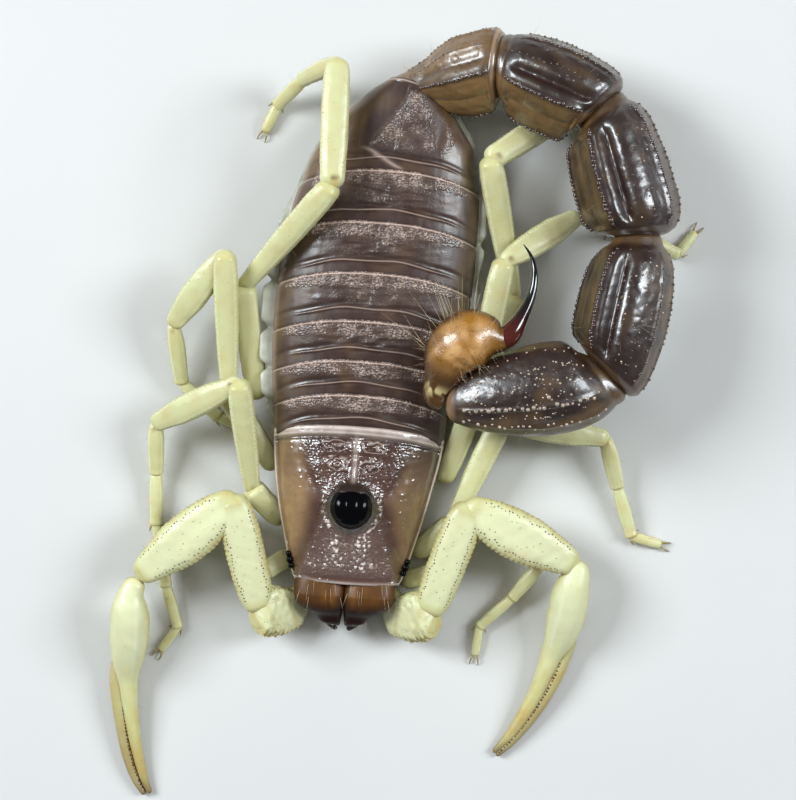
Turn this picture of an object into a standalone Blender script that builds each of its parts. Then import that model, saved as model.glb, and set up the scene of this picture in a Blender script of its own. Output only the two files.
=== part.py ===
"""Desert scorpion at rest, life size, as a still museum model.

The animal lies with its head towards -Y and its back up (+Z).  Its belly, its feet and the tips of its
claws rest on the floor at z = 0, and its tail is swung round to its left (+X), rolled on its side above
the left legs.  All lengths below are in millimetres and angles in degrees; meshes are made in metres.
"""

import math

import bmesh
import bpy
from mathutils import Vector

MM = 0.001
UP = Vector((0.0, 0.0, 1.0))

# Slit left between neighbouring pieces.
SLIT = 0.25

# Shield over the head end.  The middle of the eye hill is at x = 0, y = 0.
SHIELD_FRONT_Y = -4.5
SHIELD_REAR_Y = 4.55
SHIELD_FRONT_HALF_WIDTH = 3.15
SHIELD_REAR_HALF_WIDTH = 5.15
SHIELD_UNDERSIDE_Z = 2.15
SHIELD_FRONT_TOP_Z = 3.75
SHIELD_REAR_TOP_Z = 4.75
EYE_HILL_HALF_WIDTH = 1.3
EYE_HILL_HALF_LENGTH = 1.35
EYE_HILL_TOP_Z = 5.05
MEDIAN_EYE_RADII = (0.6, 0.78, 0.62)
MEDIAN_EYE_X = 0.67
LATERAL_EYES_RADII = (0.22, 0.46, 0.22)

# Trunk plates: where each one ends behind, and the half width, top and underside of the trunk there.
TRUNK_STATIONS = (
    # y, half width, top z, underside z
    (4.6, 5.3, 4.75, 2.15),
    (6.4, 5.7, 4.85, 2.15),
    (8.5, 6.0, 4.95, 0.9),
    (10.9, 6.25, 5.0, 0.0),
    (13.8, 6.25, 5.0, 0.0),
    (16.8, 5.9, 4.95, 0.0),
    (20.0, 5.3, 4.75, 0.0),
    (25.2, 1.95, 4.35, 1.3),
)
TRUNK_EDGE_Z = 2.35
TRUNK_SIDE_DRIFT = 1.7
TRUNK_END_HEADING = 84.0
BELLY_SINK = 0.3

# Coxal plate under the head end: (y, half width).
COXAL_PLATE = ((-4.4, 2.1), (-3.0, 2.9), (0.0, 3.5), (3.0, 4.3), (5.4, 4.6), (6.3, 3.9))
COXAL_PLATE_Z = (0.75, 1.85)

# Pectines: root, spread from the midline and size.
PECTEN_ROOT = (0.75, 4.6, 0.38)
PECTEN_LENGTH = 4.6
PECTEN_HEADING = 42.0
PECTEN_HALF_SIZES = (0.75, 0.26)

# Jaws in front of the shield.
JAW_LENGTH = 2.5
# Share of the jaw's length, then its width and height there as shares of the fullest.
JAW_PROFILE = (
    (0.0, 0.92, 0.9),
    (0.16, 1.0, 1.0),
    (0.45, 0.98, 1.0),
    (0.74, 0.78, 0.84),
    (1.0, 0.42, 0.55),
    (1.18, 0.2, 0.3),
)
JAW_HALF_WIDTH = 1.4
JAW_HALF_HEIGHT = 0.95
JAW_Z = (2.75, 2.15)
JAW_FINGER_LENGTH = 1.7

# Lengths of the stretches of each leg pair: trochanter, femur, patella, tibia, basitarsus, telotarsus.
LEG_LENGTHS = {
    1: (1.9, 4.8, 4.3, 2.8, 2.7, 1.9),
    2: (2.7, 7.1, 6.5, 3.25, 3.2, 2.0),
    3: (5.1, 8.85, 5.7, 3.9, 3.1, 1.8),
    4: (6.8, 8.8, 7.5, 3.9, 2.9, 1.9),
}
# Half width and half height of the same stretches.
LEG_GIRTHS = ((0.66, 0.7), (0.66, 0.74), (0.78, 0.72), (0.5, 0.5), (0.42, 0.4), (0.33, 0.32))
LEG_SCALE = {1: 0.86, 2: 1.0, 3: 1.0, 4: 1.04}
KNEE_SHRINK = 0.8
FOOT_TIP_HALF = 0.26

# Pose of each leg: its root, then the heading and the height reached at the end of each stretch.
LEG_POSES = {
    ("right", 1): (
        (-3.5, -3.3, 1.25),
        (216, 1.7), (131, 2.2), (-146, 1.5),
        (-77, 0.95), (-71, 0.45), (-122, 0.22),
    ),
    ("right", 2): (
        (-4.25, -1.25, 1.25),
        (137, 2.1), (100, 5.0), (-151, 2.0),
        (-87, 1.0), (-87, 0.45), (-73, 0.22),
    ),
    ("right", 3): (
        (-5.0, 2.0, 1.3),
        (126, 2.4), (95, 4.8), (-124, 2.6),
        (-80, 0.95), (-40, 0.45), (-18, 0.22),
    ),
    ("right", 4): (
        (-6.3, 6.2, 1.35),
        (101, 3.0), (51, 6.7), (92, 5.7),
        (-160, 2.5), (-137, 0.5), (-112, 0.22),
    ),
    ("left", 1): (
        (3.5, -4.4, 1.25),
        (20, 1.5), (49.5, 2.0), (-38, 1.5),
        (-125, 0.9), (-134, 0.45), (-94, 0.22),
    ),
    ("left", 2): (
        (4.1, -2.6, 1.25),
        (42, 1.5), (69, 2.4), (-5, 1.9),
        (-71, 1.0), (-69, 0.45), (-12, 0.22),
    ),
    ("left", 3): (
        (5.5, 2.0, 1.3),
        (74, 2.9), (82.5, 4.25), (36, 2.3),
        (-9, 0.95), (-21, 0.45), (56, 0.22),
    ),
    ("left", 4): (
        (6.75, 6.9, 1.2),
        (72, 1.35), (105, 4.4), (38, 1.2),
        (-49, 0.85), (-84, 0.45), (-100, 0.22),
    ),
}

# Pincer arms: coxa, trochanter, femur, patella.
ARM_LENGTHS = (1.75, 2.5, 6.8, 7.3)
ARM_GIRTHS = ((0.55, 0.48), (1.3, 1.0), (1.02, 0.85), (1.2, 0.95))
ARM_POSES = {
    "right": ((-1.75, -5.75, 0.65), (208, 1.2), (178, 2.75), (107, 4.3), (-137, 3.0)),
    "left": ((1.85, -5.75, 0.65), (-29, 1.2), (19, 2.75), (74, 4.3), (-24, 3.0)),
}
HAND_HEADINGS = {"right": -94.0, "left": -92.0}
FINGER_HEADINGS = {"right": (-88.0, -70.0), "left": (-97.0, -130.0)}
HAND_LENGTH = 5.3
HAND_HALF_SIZES = (1.27, 1.1)
WRIST_HALF_SIZE = 0.6
FINGER_LENGTH = 8.5
FINGER_SHIFTS = (0.45, 0.6)
FINGER_BASE_Z = 1.1
FINGER_TIP_Z = 0.22
FINGER_HALF_SIZES = (0.42, 0.45)
FINGER_TIP_HALF = 0.26
FINGER_STEPS = 6

# Tail: start, then length, heading, end height, half height, half width and roll of each segment.
TAIL_START = (1.75, 25.35, 2.9)
TAIL_SEGMENTS = (
    (5.8, 17, 4.8, 2.55, 2.4, 48),
    (6.5, -20, 5.6, 2.75, 2.55, 60),
    (7.9, -70, 5.75, 3.0, 2.65, 70),
    (8.5, -98, 5.75, 2.9, 2.6, 76),
    (9.6, -166.5, 5.85, 3.0, 2.45, 96),
)
FIRST_TAIL_PROFILE = ((0.0, 0.46), (0.2, 0.58), (0.42, 0.86), (0.66, 1.0), (0.84, 1.0), (1.0, 0.86))
SECOND_TAIL_PROFILE = ((0.0, 0.8), (0.17, 0.9), (0.38, 1.0), (0.64, 1.0), (0.82, 0.94), (1.0, 0.68))
TAIL_PROFILE = ((0.0, 0.6), (0.16, 0.8), (0.38, 0.96), (0.64, 1.0), (0.82, 0.94), (1.0, 0.68))
FOURTH_TAIL_PROFILE = ((0.0, 0.6), (0.16, 0.8), (0.38, 0.96), (0.6, 1.0), (0.77, 0.94), (1.0, 0.66))
LAST_TAIL_PROFILE = ((0.0, 0.6), (0.2, 0.9), (0.38, 1.0), (0.6, 0.9), (0.78, 0.72), (0.9, 0.5), (1.0, 0.3))
# Keels and the grooves between them: angle from the middle of the back, and share of the radius.
TAIL_SECTION = (
    (0, 0.86), (38, 1.02), (62, 0.95), (88, 0.97),
    (114, 1.02), (134, 0.94), (152, 0.98), (180, 0.93),
)

# Poison bulb and sting at the end of the tail.
STALK_LENGTH = 1.15
STALK_HEADINGS = (170.0, 90.0)
STALK_STEPS = 3
STALK_HALF_SIZE = 0.55
BULB_Z = (6.3, 6.9)
BULB_LENGTH = 6.1
BULB_HEADINGS = (90.0, 0.0)
BULB_HALF_SIZES = (1.72, 1.6)
BULB_PROFILE = (0.34, 0.6, 0.84, 0.99, 1.0, 0.88, 0.64, 0.36)
BULB_SIDES = 14
STING_LENGTH = 5.4
STING_HEADINGS = (48.0, 134.0)
STING_DROP = 0.35
STING_HALF_SIZES = (0.6, 0.24)
STING_STEPS = 8

# Colour, roughness and metallic value of each finish.
FINISHES = {
    "shell": ((0.085, 0.055, 0.04), 0.38, 0.0),
    "limb": ((0.62, 0.62, 0.38), 0.42, 0.0),
    "tail_shell": ((0.045, 0.028, 0.02), 0.28, 0.0),
    "bulb": ((0.42, 0.2, 0.05), 0.3, 0.0),
    "sting": ((0.02, 0.006, 0.005), 0.16, 0.0),
    "eye": ((0.004, 0.004, 0.005), 0.06, 0.0),
    "jaw": ((0.16, 0.08, 0.035), 0.32, 0.0),
}


def clear_scene():
    """Remove every object, so that the script gives the same model each time."""
    for thing in list(bpy.data.objects):
        bpy.data.objects.remove(thing, do_unlink=True)


def make_finish(node_name, finish):
    """A material of its own for one piece."""
    colour, roughness, metallic = FINISHES[finish]
    material = bpy.data.materials.new(node_name + "_finish")
    material.use_nodes = True
    shader = material.node_tree.nodes["Principled BSDF"]
    shader.inputs["Base Color"].default_value = (*colour, 1.0)
    shader.inputs["Roughness"].default_value = roughness
    shader.inputs["Metallic"].default_value = metallic
    return material


def make_solid(name, rings, finish):
    """Join rings of points, each in the same order, into one closed solid with flat end caps."""
    mesh_data = bmesh.new()
    loops = []
    for ring in rings:
        loops.append([mesh_data.verts.new(Vector((p.x, p.y, max(p.z, 0.0))) * MM) for p in ring])
    count = len(loops[0])
    for near, far in zip(loops, loops[1:]):
        for i in range(count):
            j = (i + 1) % count
            mesh_data.faces.new((near[i], near[j], far[j], far[i]))
    mesh_data.faces.new(list(reversed(loops[0])))
    mesh_data.faces.new(loops[-1])
    bmesh.ops.recalc_face_normals(mesh_data, faces=mesh_data.faces)
    bmesh.ops.triangulate(mesh_data, faces=mesh_data.faces)
    mesh = bpy.data.meshes.new(name)
    mesh_data.to_mesh(mesh)
    mesh_data.free()
    mesh.shade_smooth()
    mesh.set_sharp_from_angle(angle=math.radians(40.0))
    mesh.materials.append(make_finish(name, finish))
    thing = bpy.data.objects.new(name, mesh)
    bpy.context.collection.objects.link(thing)
    return thing


def direction(heading, rise=0.0, reach=1.0):
    """Unit vector with a heading in the floor plane, rising by rise over a level reach."""
    angle = math.radians(heading)
    return Vector((math.cos(angle) * reach, math.sin(angle) * reach, rise)).normalized()


def walk(start, lengths, steps):
    """Joints of a chain: each step gives a heading and the height reached at its end."""
    joints = [Vector(start)]
    for length, (heading, height) in zip(lengths, steps):
        here = joints[-1]
        rise = height - here.z
        reach = math.sqrt(max(length * length - rise * rise, 0.0))
        joints.append(here + length * direction(heading, rise, reach))
    return joints


def oval(sides, half_width, half_height, squareness=2.4):
    """Points (across, up) of a rounded box outline."""
    power = 2.0 / squareness
    points = []
    for i in range(sides):
        angle = math.tau * (i + 0.5) / sides
        across = math.copysign(abs(math.cos(angle)) ** power, math.cos(angle))
        rising = math.copysign(abs(math.sin(angle)) ** power, math.sin(angle))
        points.append((half_width * across, half_height * rising))
    return points


def place_ring(outline, centre, forward, upward, cut=None):
    """Set an outline square to forward at centre, or slide it along forward onto the plane of a cut."""
    side = forward.cross(upward).normalized()
    above = side.cross(forward).normalized()
    ring = []
    for across, rising in outline:
        offset = side * across + above * rising
        if cut is not None:
            offset -= forward * (offset.dot(cut) / forward.dot(cut))
        ring.append(centre + offset)
    return ring


def bisector(before, after):
    """Normal of the plane in which two stretches meet."""
    return (before + after).normalized()


def limb_rings(joints, girths, sides, before=None, after=None, tip=None, squareness=2.4):
    """Rings of a bent limb piece: narrow at each joint and full between, with its ends cut for slits.

    before and after are the directions of the pieces that join it, and tip is the half size of a free end.
    """
    runs = [(b - a).normalized() for a, b in zip(joints, joints[1:])]
    rings = []
    last = len(runs) - 1
    for i, forward in enumerate(runs):
        start, end = joints[i], joints[i + 1]
        length = (end - start).length
        wide, tall = girths[i]
        previous = runs[i - 1] if i else (before or forward)
        following = runs[i + 1] if i < last else (after or forward)
        cuts = (bisector(previous, forward), bisector(forward, following))
        shoulders = []
        for cut in cuts:
            slant = forward.dot(cut)
            lean = math.sqrt(max(1.0 - slant ** 2, 0.0)) / slant
            shoulders.append(min(0.42 * length, max(wide * lean + 0.15, 0.12 * length)))
        if i == 0:
            slant = forward.dot(cuts[0])
            narrow = oval(sides, wide * KNEE_SHRINK * slant, tall * KNEE_SHRINK, squareness)
            rings.append(place_ring(narrow, start + forward * (0.5 * SLIT / slant), forward, UP, cuts[0]))
        for distance, share in ((shoulders[0], 0.96), (0.5 * length, 1.0), (length - shoulders[1], 0.97)):
            full = oval(sides, wide * share, tall * share, squareness)
            rings.append(place_ring(full, start + forward * distance, forward, UP))
        slant = forward.dot(cuts[1])
        if i < last:
            next_wide, next_tall = girths[i + 1]
            knee_wide = min(wide, next_wide) * KNEE_SHRINK * slant
            knee = oval(sides, knee_wide, min(tall, next_tall) * KNEE_SHRINK, squareness)
            rings.append(place_ring(knee, end, forward, UP, cuts[1]))
        elif tip is not None:
            rings.append(place_ring(oval(sides, tip, tip), end, forward, UP))
        else:
            narrow = oval(sides, wide * KNEE_SHRINK * slant, tall * KNEE_SHRINK, squareness)
            rings.append(place_ring(narrow, end - forward * (0.5 * SLIT / slant), forward, UP, cuts[1]))
    return rings


def arc_points(start, headings, length, end_height, steps):
    """Points along a curve that turns evenly from one heading to another."""
    points = [Vector(start)]
    rise = (end_height - start[2]) / steps
    for i in range(steps):
        share = (i + 0.5) / steps
        heading = headings[0] + (headings[1] - headings[0]) * share
        pace = length / steps
        reach = math.sqrt(pace * pace - rise * rise)
        points.append(points[-1] + pace * direction(heading, rise, reach))
    return points


def curve_rings(points, sizes, sides, first_cut=None, last_cut=None):
    """Rings along a smooth curve with the half sizes given at each point, its ends cut on given planes."""
    rings = []
    last = len(points) - 1
    for i, (wide, tall) in enumerate(sizes):
        forward = (points[min(i + 1, last)] - points[max(i - 1, 0)]).normalized()
        cut = None
        if i == 0:
            cut = first_cut
        if i == last:
            cut = last_cut
        slant = forward.dot(cut) if cut is not None else 1.0
        rings.append(place_ring(oval(sides, wide * slant, tall), points[i], forward, UP, cut))
    return rings


def make_ellipsoid(name, centre, radii, finish, cut_below=None, slices=12, stacks=6):
    """A rounded bead, or only the dome of it above a height."""
    lowest = -0.5 * math.pi
    if cut_below is not None:
        lowest = math.asin((cut_below - centre[2]) / radii[2])
    rings = []
    for stack in range(stacks):
        share = stack / (stacks - 1)
        angle = lowest * 0.97 + (0.47 * math.pi - lowest * 0.97) * share
        ring = []
        for i in range(slices):
            turn = math.tau * i / slices
            ring.append(Vector((
                centre[0] + radii[0] * math.cos(angle) * math.cos(turn),
                centre[1] + radii[1] * math.cos(angle) * math.sin(turn),
                centre[2] + radii[2] * math.sin(angle),
            )))
        rings.append(ring)
    return make_solid(name, rings, finish)


def shield_half_width(y):
    """Half width of the head shield, a little fuller than straight between its ends."""
    share = (y - SHIELD_FRONT_Y) / (SHIELD_REAR_Y - SHIELD_FRONT_Y)
    widening = share ** 0.85
    return SHIELD_FRONT_HALF_WIDTH + (SHIELD_REAR_HALF_WIDTH - SHIELD_FRONT_HALF_WIDTH) * widening


def shield_top(x, y):
    """Height of the head shield: an arch that rises to the rear, with the eye hill on it."""
    share = (y - SHIELD_FRONT_Y) / (SHIELD_REAR_Y - SHIELD_FRONT_Y)
    crown = SHIELD_FRONT_TOP_Z + (SHIELD_REAR_TOP_Z - SHIELD_FRONT_TOP_Z) * math.sin(0.5 * math.pi * share)
    rim = SHIELD_UNDERSIDE_Z + 0.55
    across = min(abs(x) / shield_half_width(y), 1.0)
    height = rim + (crown - rim) * (1.0 - across ** 2.3) ** 0.6
    hill = max(1.0 - (x / EYE_HILL_HALF_WIDTH) ** 4 - (y / EYE_HILL_HALF_LENGTH) ** 4, 0.0)
    return height + (EYE_HILL_TOP_Z - height) * min(hill * 3.0, 1.0)


def build_shield():
    """Head shield with the low hill that carries the two middle eyes."""
    columns = (-1.0, -0.86, -0.66, -0.46, -0.3, -0.15, 0.0, 0.15, 0.3, 0.46, 0.66, 0.86, 1.0)
    rows = (SHIELD_FRONT_Y, -4.1, -3.0, -1.9, -1.3, -0.9, 0.0, 0.9, 1.3, 2.2, 3.3, 4.2, SHIELD_REAR_Y)
    rings = []
    for y in rows:
        half = shield_half_width(y)
        tuck = 0.97 if y in (SHIELD_FRONT_Y, SHIELD_REAR_Y) else 1.0
        ring = [Vector((-0.9 * half * tuck, y, SHIELD_UNDERSIDE_Z))]
        for u in columns:
            x = u * half * tuck
            ring.append(Vector((x, y, shield_top(x, y))))
        ring.append(Vector((0.9 * half * tuck, y, SHIELD_UNDERSIDE_Z)))
        rings.append(ring)
    make_solid("carapace", rings, "shell")


def build_eyes():
    """Two domed middle eyes on the hill and a low group of small eyes at each front corner."""
    dome_base = EYE_HILL_TOP_Z + 0.1
    corner_y = SHIELD_FRONT_Y + 0.95
    for side, sign in (("left", 1.0), ("right", -1.0)):
        make_ellipsoid(f"median_eye_{side}", (sign * MEDIAN_EYE_X, 0.0, dome_base), MEDIAN_EYE_RADII, "eye",
                       cut_below=dome_base)
        corner_x = shield_half_width(corner_y) + LATERAL_EYES_RADII[0] + 0.12
        make_ellipsoid(f"lateral_eyes_{side}", (sign * corner_x, corner_y, SHIELD_UNDERSIDE_Z + 0.75),
                       LATERAL_EYES_RADII, "eye", slices=10, stacks=5)


def trunk_centre_x(y):
    """The trunk leaves the line of the head and drifts to the animal's left."""
    share = max(y - TRUNK_STATIONS[0][0], 0.0) / (TRUNK_STATIONS[-1][0] - TRUNK_STATIONS[0][0])
    return TRUNK_SIDE_DRIFT * share ** 1.25


def trunk_ring(y, half_width, top, underside, sides=18):
    """Outline of the trunk at y: an arched back, a soft edge and a flat belly."""
    ring = []
    belly = TRUNK_EDGE_Z - underside + (BELLY_SINK if underside == 0.0 else 0.0)
    for i in range(sides):
        angle = math.tau * (i + 0.5) / sides
        across = math.copysign(abs(math.cos(angle)) ** 0.88, math.cos(angle))
        rising = math.copysign(abs(math.sin(angle)) ** 0.95, math.sin(angle))
        reach = (top - TRUNK_EDGE_Z) if rising > 0.0 else belly
        z = TRUNK_EDGE_Z + reach * rising
        ring.append(Vector((trunk_centre_x(y) + half_width * across, y, z)))
    return ring


def build_trunk():
    """Seven trunk segments, each with its back plate, soft sides and belly plate in one piece."""
    tail_skew = math.tan(math.radians(0.5 * (TRUNK_END_HEADING - TAIL_SEGMENTS[0][1])))
    for number, (front, rear) in enumerate(zip(TRUNK_STATIONS, TRUNK_STATIONS[1:]), start=1):
        front_y = front[0] + 0.5 * SLIT
        rear_y = rear[0] - 0.5 * SLIT
        belly_floor = max(front[3], rear[3]) if number < 7 else front[3]
        if number == 3:
            belly_floor = 0.0
        shares = (0.0, 0.12, 0.5, 0.9, 1.0) if number < 7 else (0.0, 0.15, 0.4, 0.65, 0.88, 1.0)
        rings = []
        for share in shares:
            y = front_y + (rear_y - front_y) * share
            half = front[1] + (rear[1] - front[1]) * (share ** 2.0 if number == 7 else share)
            top = front[2] + (rear[2] - front[2]) * share
            low = belly_floor + (rear[3] - belly_floor) * (share ** 1.5 if number == 7 else 0.0)
            trim = 0.965 if share in (0.0, 1.0) else 1.0
            ring = trunk_ring(y, half * trim, TRUNK_EDGE_Z + (top - TRUNK_EDGE_Z) * trim, low)
            if number == 7:
                lean = tail_skew * share ** 2
                ring = [Vector((p.x, p.y - (p.x - trunk_centre_x(y)) * lean, p.z)) for p in ring]
            rings.append(ring)
        make_solid(f"trunk_segment_{number}", rings, "shell")


def build_underside():
    """Coxal plate with the breastbone, and the two combs behind it."""
    low, high = COXAL_PLATE_Z
    middle = 0.5 * (low + high)
    rings = []
    for y, half in COXAL_PLATE:
        outline = oval(10, half, 0.5 * (high - low), squareness=5.0)
        rings.append([Vector((across, y, middle + rising)) for across, rising in outline])
    make_solid("sternum_and_coxae", rings, "limb")
    x, y, z = PECTEN_ROOT
    wide, tall = PECTEN_HALF_SIZES
    for side, sign in (("left", 1.0), ("right", -1.0)):
        start = Vector((sign * x, y, z))
        forward = direction(90.0 - sign * PECTEN_HEADING)
        points = [start + forward * PECTEN_LENGTH * share for share in (0.0, 0.25, 0.6, 0.9, 1.0)]
        sizes = [(wide * share, tall) for share in (0.6, 0.95, 1.0, 0.8, 0.45)]
        make_solid(f"{side}_pecten", curve_rings(points, sizes, 8), "limb")


def build_jaws():
    """Each jaw is a swollen hand with a fixed finger, and a curved movable finger on its outer side."""
    ahead = Vector((0.0, -1.0, 0.0))
    start_y = SHIELD_FRONT_Y - SLIT
    for side, sign in (("left", 1.0), ("right", -1.0)):
        rings = []
        for share, wide, tall in JAW_PROFILE:
            half = JAW_HALF_WIDTH * wide
            height = JAW_Z[0] + (JAW_Z[1] - JAW_Z[0]) * share
            centre = Vector((sign * (half + 0.5 * SLIT), start_y - JAW_LENGTH * share, height))
            rings.append(place_ring(oval(12, half, JAW_HALF_HEIGHT * tall), centre, ahead, UP))
        make_solid(f"chelicera_{side}", rings, "jaw")
        root = (sign * 1.9, start_y - JAW_LENGTH * 0.95, JAW_Z[1] - 0.55)
        headings = (-90.0 - sign * 4.0, -90.0 - sign * 66.0)
        horn = arc_points(root, headings, JAW_FINGER_LENGTH, JAW_Z[1] - 0.95, 4)
        horn_sizes = [(0.34, 0.34), (0.36, 0.36), (0.33, 0.33), (0.28, 0.28), (0.22, 0.22)]
        make_solid(f"chelicera_finger_{side}", curve_rings(horn, horn_sizes, 8), "jaw")


def build_leg(side, number):
    """One walking leg in three pieces: trochanter with femur, patella, and the foot with its two tarsi."""
    root, *steps = LEG_POSES[(side, number)]
    joints = walk(root, LEG_LENGTHS[number], steps)
    scale = LEG_SCALE[number]
    girths = [(wide * scale, tall * scale) for wide, tall in LEG_GIRTHS]
    runs = [(b - a).normalized() for a, b in zip(joints, joints[1:])]
    name = f"{side}_leg_{number}"
    make_solid(name + "_femur", limb_rings(joints[0:3], girths[0:2], 8, after=runs[2]), "limb")
    make_solid(name + "_patella", limb_rings(joints[2:4], girths[2:3], 8, runs[1], runs[3]), "limb")
    foot = limb_rings(joints[3:7], girths[3:6], 8, before=runs[2], tip=FOOT_TIP_HALF)
    make_solid(name + "_foot", foot, "limb")


def build_arm(side):
    """One pincer arm: trochanter with the coxa, femur, patella, hand and movable finger."""
    root, *steps = ARM_POSES[side]
    sign = 1.0 if side == "left" else -1.0
    joints = walk(root, ARM_LENGTHS, steps)
    runs = [(b - a).normalized() for a, b in zip(joints, joints[1:])]
    wrist = joints[-1]
    drop = FINGER_BASE_Z - wrist.z
    hand_run = direction(HAND_HEADINGS[side], drop, math.sqrt(HAND_LENGTH ** 2 - drop ** 2))
    name = f"{side}_palp"
    boxy = 3.0
    rings = limb_rings(joints[0:3], ARM_GIRTHS[0:2], 10, after=runs[2], squareness=boxy)
    make_solid(name + "_trochanter", rings, "limb")
    rings = limb_rings(joints[2:4], ARM_GIRTHS[2:3], 10, runs[1], runs[3], squareness=boxy)
    make_solid(name + "_femur", rings, "limb")
    rings = limb_rings(joints[3:5], ARM_GIRTHS[3:4], 10, runs[2], hand_run, squareness=boxy)
    make_solid(name + "_patella", rings, "limb")
    build_hand(name, sign, wrist, hand_run, runs[3], FINGER_HEADINGS[side])


def build_hand(name, sign, wrist, hand_run, arm_run, headings):
    """Swollen hand that runs on into its fixed finger, with the movable finger on its outer side."""
    outward = hand_run.cross(UP).normalized() * -sign
    if outward.x * sign < 0.0:
        outward = -outward
    cut = bisector(arm_run, hand_run)
    wide, tall = HAND_HALF_SIZES
    inset = 0.5 * SLIT / hand_run.dot(cut)
    wrist_outline = oval(12, WRIST_HALF_SIZE, WRIST_HALF_SIZE)
    rings = [place_ring(wrist_outline, wrist + hand_run * inset, hand_run, UP, cut)]
    profile = ((0.2, 0.76, 0.0), (0.34, 0.98, 0.0), (0.55, 1.0, 0.02), (0.76, 0.84, 0.1))
    for share, size, shift in profile:
        centre = wrist + hand_run * HAND_LENGTH * share - outward * shift
        rings.append(place_ring(oval(12, wide * size, tall * size), centre, hand_run, UP))
    fixed_root = wrist + hand_run * HAND_LENGTH - outward * FINGER_SHIFTS[0]
    fixed_root.z = FINGER_BASE_Z
    fixed = arc_points(fixed_root, headings, FINGER_LENGTH, FINGER_TIP_Z, FINGER_STEPS)
    rings += curve_rings(fixed, finger_sizes(1.0), 12)
    make_solid(name + "_hand", rings, "limb")
    finger_root = wrist + hand_run * (HAND_LENGTH + SLIT) + outward * FINGER_SHIFTS[1]
    finger_root.z = FINGER_BASE_Z - 0.25
    moving = arc_points(finger_root, headings, FINGER_LENGTH * 0.985, FINGER_TIP_Z, FINGER_STEPS)
    make_solid(name + "_finger", curve_rings(moving, finger_sizes(1.0), 10), "limb")


def finger_sizes(scale):
    """Half sizes of a pincer finger from its root to its tip."""
    sizes = []
    for i in range(FINGER_STEPS + 1):
        share = (i / FINGER_STEPS) ** 1.6
        wide = FINGER_HALF_SIZES[0] * scale * (1.0 - share) + FINGER_TIP_HALF * share
        tall = FINGER_HALF_SIZES[1] * scale * (1.0 - share) + FINGER_TIP_HALF * share
        sizes.append((wide, tall))
    return sizes


def tail_outline(half_height, half_width):
    """Keeled outline of the tail as (across, up), up being the middle of the back."""
    points = []
    for angle, share in TAIL_SECTION:
        points.append((angle, share))
    for angle, share in reversed(TAIL_SECTION[1:-1]):
        points.append((360 - angle, share))
    outline = []
    for angle, share in points:
        turn = math.radians(angle)
        outline.append((half_width * share * math.sin(turn), half_height * share * math.cos(turn)))
    return outline


def rolled_up(forward, roll):
    """Direction of the back of the tail, rolled from straight up towards the inside of its curl."""
    level = forward.cross(UP).normalized()
    turn = math.radians(roll)
    return UP * math.cos(turn) + level * math.sin(turn)


def build_tail():
    """Five keeled tail segments, the poison bulb and the sting."""
    joints = walk(TAIL_START, [s[0] for s in TAIL_SEGMENTS], [(s[1], s[2]) for s in TAIL_SEGMENTS])
    runs = [(b - a).normalized() for a, b in zip(joints, joints[1:])]
    profiles = (FIRST_TAIL_PROFILE, SECOND_TAIL_PROFILE, TAIL_PROFILE, FOURTH_TAIL_PROFILE, LAST_TAIL_PROFILE)
    for i, (length, _, _, half_height, half_width, roll) in enumerate(TAIL_SEGMENTS):
        forward = runs[i]
        before = runs[i - 1] if i else direction(TRUNK_END_HEADING)
        after = runs[i + 1] if i < 4 else direction(STALK_HEADINGS[0])
        profile = profiles[i]
        rings = []
        for share, size in profile:
            cut = None
            slant = 1.0
            distance = length * share
            if share == 0.0:
                cut = bisector(before, forward)
                slant = forward.dot(cut)
                distance = 0.5 * SLIT / slant
            if share == 1.0:
                cut = bisector(forward, after)
                slant = forward.dot(cut)
                distance = length - 0.5 * SLIT / slant
            outline = tail_outline(half_height * size * slant, half_width * size)
            rings.append(place_ring(outline, joints[i] + forward * distance, forward,
                                    rolled_up(forward, roll), cut))
        make_solid(f"tail_segment_{i + 1}", rings, "tail_shell")
    build_sting(joints[-1], runs[-1])


def build_sting(tail_end, tail_run):
    """Swollen bulb folded back along the tail on its short stalk, and the curved sting that grows from it."""
    tail_cut = bisector(tail_run, direction(STALK_HEADINGS[0]))
    sting_cut = bisector(direction(BULB_HEADINGS[1]), direction(STING_HEADINGS[0]))
    start = tail_end + tail_cut * (0.5 * SLIT)
    stalk = arc_points(start, STALK_HEADINGS, STALK_LENGTH, BULB_Z[0], STALK_STEPS)
    bulb = arc_points(stalk[-1], BULB_HEADINGS, BULB_LENGTH, BULB_Z[1], len(BULB_PROFILE) - 1)
    sizes = [(STALK_HALF_SIZE, STALK_HALF_SIZE)] * STALK_STEPS
    sizes += [(BULB_HALF_SIZES[0] * size, BULB_HALF_SIZES[1] * size) for size in BULB_PROFILE]
    rings = curve_rings(stalk[:-1] + bulb, sizes, BULB_SIDES, tail_cut, sting_cut)
    make_solid("telson_bulb", rings, "bulb")
    root = bulb[-1] + sting_cut * SLIT
    sting = arc_points(root, STING_HEADINGS, STING_LENGTH, root.z - STING_DROP, STING_STEPS)
    thick, thin = STING_HALF_SIZES
    sting_sizes = []
    for i in range(STING_STEPS + 1):
        half = thick + (thin - thick) * (i / STING_STEPS) ** 0.8
        sting_sizes.append((half, half))
    make_solid("telson_sting", curve_rings(sting, sting_sizes, 10, sting_cut), "sting")


def centre_on_floor():
    """Move the whole model so that the middle of its outline stands over the origin."""
    things = [thing for thing in bpy.data.objects if thing.type == "MESH"]
    xs = [v.co.x for thing in things for v in thing.data.vertices]
    ys = [v.co.y for thing in things for v in thing.data.vertices]
    shift = Vector((-0.5 * (min(xs) + max(xs)), -0.5 * (min(ys) + max(ys)), 0.0))
    for thing in things:
        for vertex in thing.data.vertices:
            vertex.co += shift


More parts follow.
